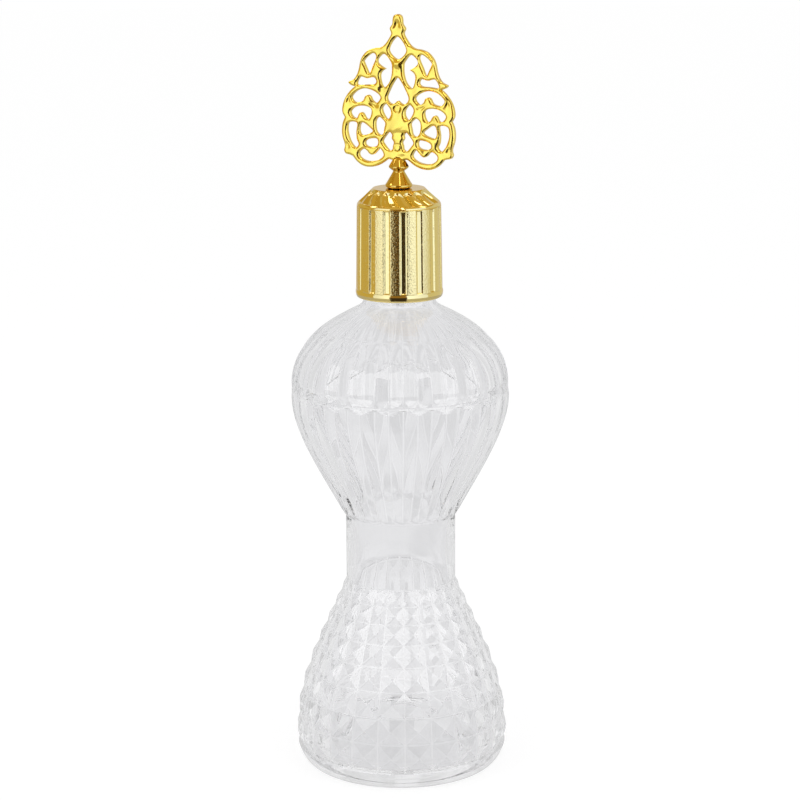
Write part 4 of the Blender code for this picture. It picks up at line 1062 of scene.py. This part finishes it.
# Openings of the right half, which the left half mirrors
SIDE_OPENINGS = [
    [(4.5, 32.9), (2.3, 30.5), (1.9, 28.6), (2.1, 26.1), (3.0, 23.7), (4.7, 22.1), (5.7, 23.2),
     (6.2, 25.7), (5.7, 27.1), (4.3, 28.1, 1), (6.2, 29.2), (7.1, 30.3), (6.5, 31.8)],
    [(8.5, 33.1), (10.7, 31.8), (12.0, 30.3, 1), (11.0, 28.1), (9.9, 26.3), (8.7, 28.7), (7.4, 31.9)],
    [(8.3, 25.3), (10.6, 24.9), (13.1, 25.3), (14.3, 22.7), (10.9, 22.8), (8.3, 23.0), (7.4, 24.0)],
    [(6.0, 18.9), (7.7, 20.6), (10.9, 21.6), (13.9, 20.9), (16.1, 19.0), (16.0, 17.8), (14.7, 16.9),
     (12.3, 17.5), (11.4, 19.0), (10.5, 19.5), (9.6, 19.0), (8.9, 17.7), (7.4, 17.0)],
    [(9.4, 15.2), (12.0, 16.0), (15.0, 15.4), (16.7, 13.8), (15.9, 12.2), (14.5, 11.8), (13.6, 13.3),
     (12.9, 13.8), (12.1, 13.3), (11.3, 12.0), (10.2, 11.6), (9.3, 13.2)],
    [(4.2, 16.9), (5.5, 15.6), (5.2, 13.8), (3.7, 11.9), (2.5, 13.1), (2.4, 14.7), (3.2, 16.1)],
    [(14.4, 10.4), (17.3, 10.3), (17.9, 8.0), (17.5, 5.8), (16.5, 3.6), (15.0, 2.2), (13.8, 3.4),
     (14.4, 5.0), (14.6, 7.3)],
    [(12.0, 10.5), (13.2, 10.1), (13.6, 7.9), (12.8, 6.4), (10.6, 6.8), (8.8, 7.9), (10.0, 9.2)],
    [(6.5, 12.6), (7.7, 11.6), (8.0, 9.8), (7.5, 7.6), (6.2, 6.7), (5.1, 7.3), (4.7, 9.0),
     (4.4, 10.7), (5.3, 11.9)],
    [(3.0, 7.9), (2.0, 7.0), (2.1, 5.8), (1.4, 4.6), (1.7, 3.4), (1.9, 2.3), (3.1, 1.8), (4.8, 3.6),
     (5.4, 4.8), (4.4, 6.4)],
    [(7.6, 5.6), (10.1, 5.3), (11.5, 4.4), (11.4, 3.2), (9.8, 2.6), (7.5, 3.1), (6.9, 4.5)],
    [(6.2, 2.4), (7.3, 1.5), (8.3, 0.5), (9.2, 0.2), (10.1, 0.6), (10.9, 1.5), (12.1, 2.0),
     (13.7, 0.8), (13.5, -0.7), (11.7, -1.8), (9.3, -2.0), (6.5, -1.2), (5.0, 0.4)]]
FACE_HALF = 1.1
EDGE_HALF = 0.72
PILLOW = 0.8
KNOT_EDGE = 1.2
# Place, size and height of each knot; a hollow has a negative height
KNOTS = [(0.0, 42.6, 1.2, -0.55), (0.4, 30.0, 1.1, 0.5), (8.3, 16.4, 1.4, -0.6), (17.3, 18.0, 1.3, -0.5),
         (5.0, 22.2, 1.2, -0.55), (18.0, 2.8, 1.2, -0.45), (0.0, 10.5, 2.8, 0.35), (13.6, 30.0, 1.0, 0.3)]
PINS = [(0.0, 15.4), (0.0, 2.9)]
PIN_RADIUS = 1.15
PIN_DEPTH = 0.22
EDGE_SPACING = 0.32
FACE_SPACING = 0.27
EDGE_INSETS = (0.08, 0.2, 0.36)


def smooth_loop(points, spacing):
    """A closed outline through the points, curved except at the corners."""
    count = len(points)
    loop = []
    for index, point in enumerate(points):
        here, after = Vector(point[:2]), Vector(points[(index + 1) % count][:2])
        before, beyond = Vector(points[index - 1][:2]), Vector(points[(index + 2) % count][:2])
        leave = Vector((0, 0)) if len(point) > 2 else (after - before) / 6
        arrive = Vector((0, 0)) if len(points[(index + 1) % count]) > 2 else (beyond - here) / 6
        pieces = max(2, round((after - here).length / spacing))
        loop.append(here)
        loop += [Vector(p) for p in bezier(here, here + leave, after - arrive, after, pieces)[:-1]]
    return loop


def mirrored(points):
    return [(-point[0], *point[1:]) for point in reversed(points)]


def whole(half):
    """A full outline from its right half, whose ends may lie on the centre line."""
    return half + [point for point in mirrored(half) if abs(point[0]) > 1e-6]


def signed_area(loop):
    return 0.5 * sum(a.x * b.y - b.x * a.y for a, b in zip(loop, loop[1:] + loop[:1]))


def ornament_outlines():
    """The outer edge and every opening, each turning so that the metal lies on its left."""
    loops = [whole(ORNAMENT_EDGE + TANG)] + [whole(half) for half in CENTRE_OPENINGS]
    for opening in SIDE_OPENINGS:
        loops += [opening, mirrored(opening)]
    loops = [smooth_loop(loop, EDGE_SPACING) for loop in loops]
    return [loop if (signed_area(loop) > 0) == (k == 0) else loop[::-1] for k, loop in enumerate(loops)]


def strand_points(loops):
    """Points of the face: rings that follow every edge inwards, then an even field."""
    edge = [point for loop in loops for point in loop]
    near = KDTree(4 * len(edge))
    for loop in loops:
        for a, b in zip(loop, loop[1:] + loop[:1]):
            for part in (0.0, 0.25, 0.5, 0.75):
                near.insert((*a.lerp(b, part), 0.0), 0)
    near.balance()

    def from_edge(point):
        """Distance from the nearest edge."""
        return near.find((point[0], point[1], 0.0))[2]

    points = list(edge)
    for loop in loops:
        for before, here, after in zip(loop[-1:] + loop[:-1], loop, loop[1:] + loop[:1]):
            run = (after - before).normalized()
            for inset in EDGE_INSETS:
                point = here + Vector((-run.y, run.x)) * inset
                if from_edge(point) > 0.93 * inset:
                    points.append(point)
    low = [min(point[k] for point in edge) - 1.0 for k in (0, 1)]
    high = [max(point[k] for point in edge) + 1.0 for k in (0, 1)]
    rise = FACE_SPACING * 0.866
    for row in range(int((high[1] - low[1]) / rise)):
        for column in range(int((high[0] - low[0]) / FACE_SPACING)):
            point = Vector((low[0] + (column + 0.5 * (row % 2)) * FACE_SPACING, low[1] + row * rise))
            if from_edge(point) > 0.5:
                points.append(point)
    corners = [Vector((x, y)) for x in (low[0], high[0]) for y in (low[1], high[1])]
    return points + corners, from_edge


def metal_triangles(loops, points):
    """Triangles between the points; those outside and in the openings are left out."""
    edges = []
    first = 0
    for loop in loops:
        edges += [(first + k, first + (k + 1) % len(loop)) for k in range(len(loop))]
        first += len(loop)
    places, lines, faces, _, origins, _ = delaunay_2d_cdt(points, edges, [], 0, 1e-5, True)
    walls = {frozenset(line) for line, origin in zip(lines, origins) if origin}
    sides = {}
    for index, face in enumerate(faces):
        for a, b in zip(face, face[1:] + face[:1]):
            sides.setdefault(frozenset((a, b)), []).append(index)
    corner = min(range(len(places)), key=lambda k: places[k].x + places[k].y)
    start = next(index for index, face in enumerate(faces) if corner in face)
    metal = {start: False}
    queue = [start]
    while queue:
        index = queue.pop()
        face = faces[index]
        for a, b in zip(face, face[1:] + face[:1]):
            side = frozenset((a, b))
            for other in sides[side]:
                if other not in metal:
                    metal[other] = metal[index] != (side in walls)
                    queue.append(other)
    return places, [face for index, face in enumerate(faces) if metal[index]]


def face_height(place, inward):
    """Half the thickness at a place of the face: pillowed strands, knots and pin marks."""
    crown = min(inward, PILLOW) / PILLOW
    height = EDGE_HALF + (FACE_HALF - EDGE_HALF) * (1.0 - (1.0 - crown) ** 2)
    share = min(inward, KNOT_EDGE) / KNOT_EDGE
    for x, y, size, rise in KNOTS:
        aside = hypot(abs(place.x) - x, place.y - y) / size
        height += rise * exp(-aside * aside) * share
    for x, y in PINS:
        aside = (hypot(place.x - x, place.y - y) - PIN_RADIUS) / 0.2
        height -= PIN_DEPTH * exp(-aside * aside) * share
    return height


def make_ornament(look):
    """Both faces of the palmette and the wall between them, turned with the cap."""
    loops = ornament_outlines()
    points, from_edge = strand_points(loops)
    places, faces = metal_triangles(loops, points)
    used = sorted({k for face in faces for k in face})
    order = {k: n for n, k in enumerate(used)}
    heights = [face_height(places[k], from_edge(places[k])) for k in used]
    shape = bmesh.new()
    turn = Quaternion((0.0, 0.0, 1.0), radians(CAP_TURN))
    layers = []
    for side in (-1.0, 1.0):
        verts = []
        for k, height in zip(used, heights):
            spot = Vector((places[k].x, side * height, STEM_TOP + places[k].y)) * MM
            spot.rotate(turn)
            verts.append(shape.verts.new(spot))
        layers.append(verts)
    front, back = layers
    border = {}
    for face in faces:
        a, b, c = (order[k] for k in face)
        shape.faces.new((front[a], front[b], front[c]))
        shape.faces.new((back[c], back[b], back[a]))
        for pair in ((a, b), (b, c), (c, a)):
            border[frozenset(pair)] = None if frozenset(pair) in border else pair
    for pair in border.values():
        if pair:
            a, b = pair
            shape.faces.new((front[b], front[a], back[a], back[b]))
    bmesh.ops.triangulate(shape, faces=[face for face in shape.faces if len(face.verts) > 3])
    bmesh.ops.recalc_face_normals(shape, faces=shape.faces[:])
    piece = plain_piece("palmette", shape)
    piece.data.materials.append(look)
    return smooth(piece, 32)


ornament_gold = gilt("ornament_gold", (0.99, 0.71, 0.105), 0.15, coat=0.2, wave=0.9)
ornament = make_ornament(ornament_gold)
pocket_line = [(0.0, STEM_TOP - 4.9), (BELL + 0.2, STEM_TOP - 4.9), (BELL + 0.2, BELL_LEVEL + 0.1),
               (2.1, TIP_LEVEL), (1.34, STEM_TOP - 0.1), (0.0, STEM_TOP + 0.2)]
pocket = turned("pocket", pocket_line, ornament_gold)
cut(pocket, block((-6.0, -0.6, STEM_TOP - 6.0), (6.0, 0.6, STEM_TOP + 3.0), CAP_TURN), 40)
cut(ornament, pocket, 32)
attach(ornament, "cap")
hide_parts("finial_ornament")
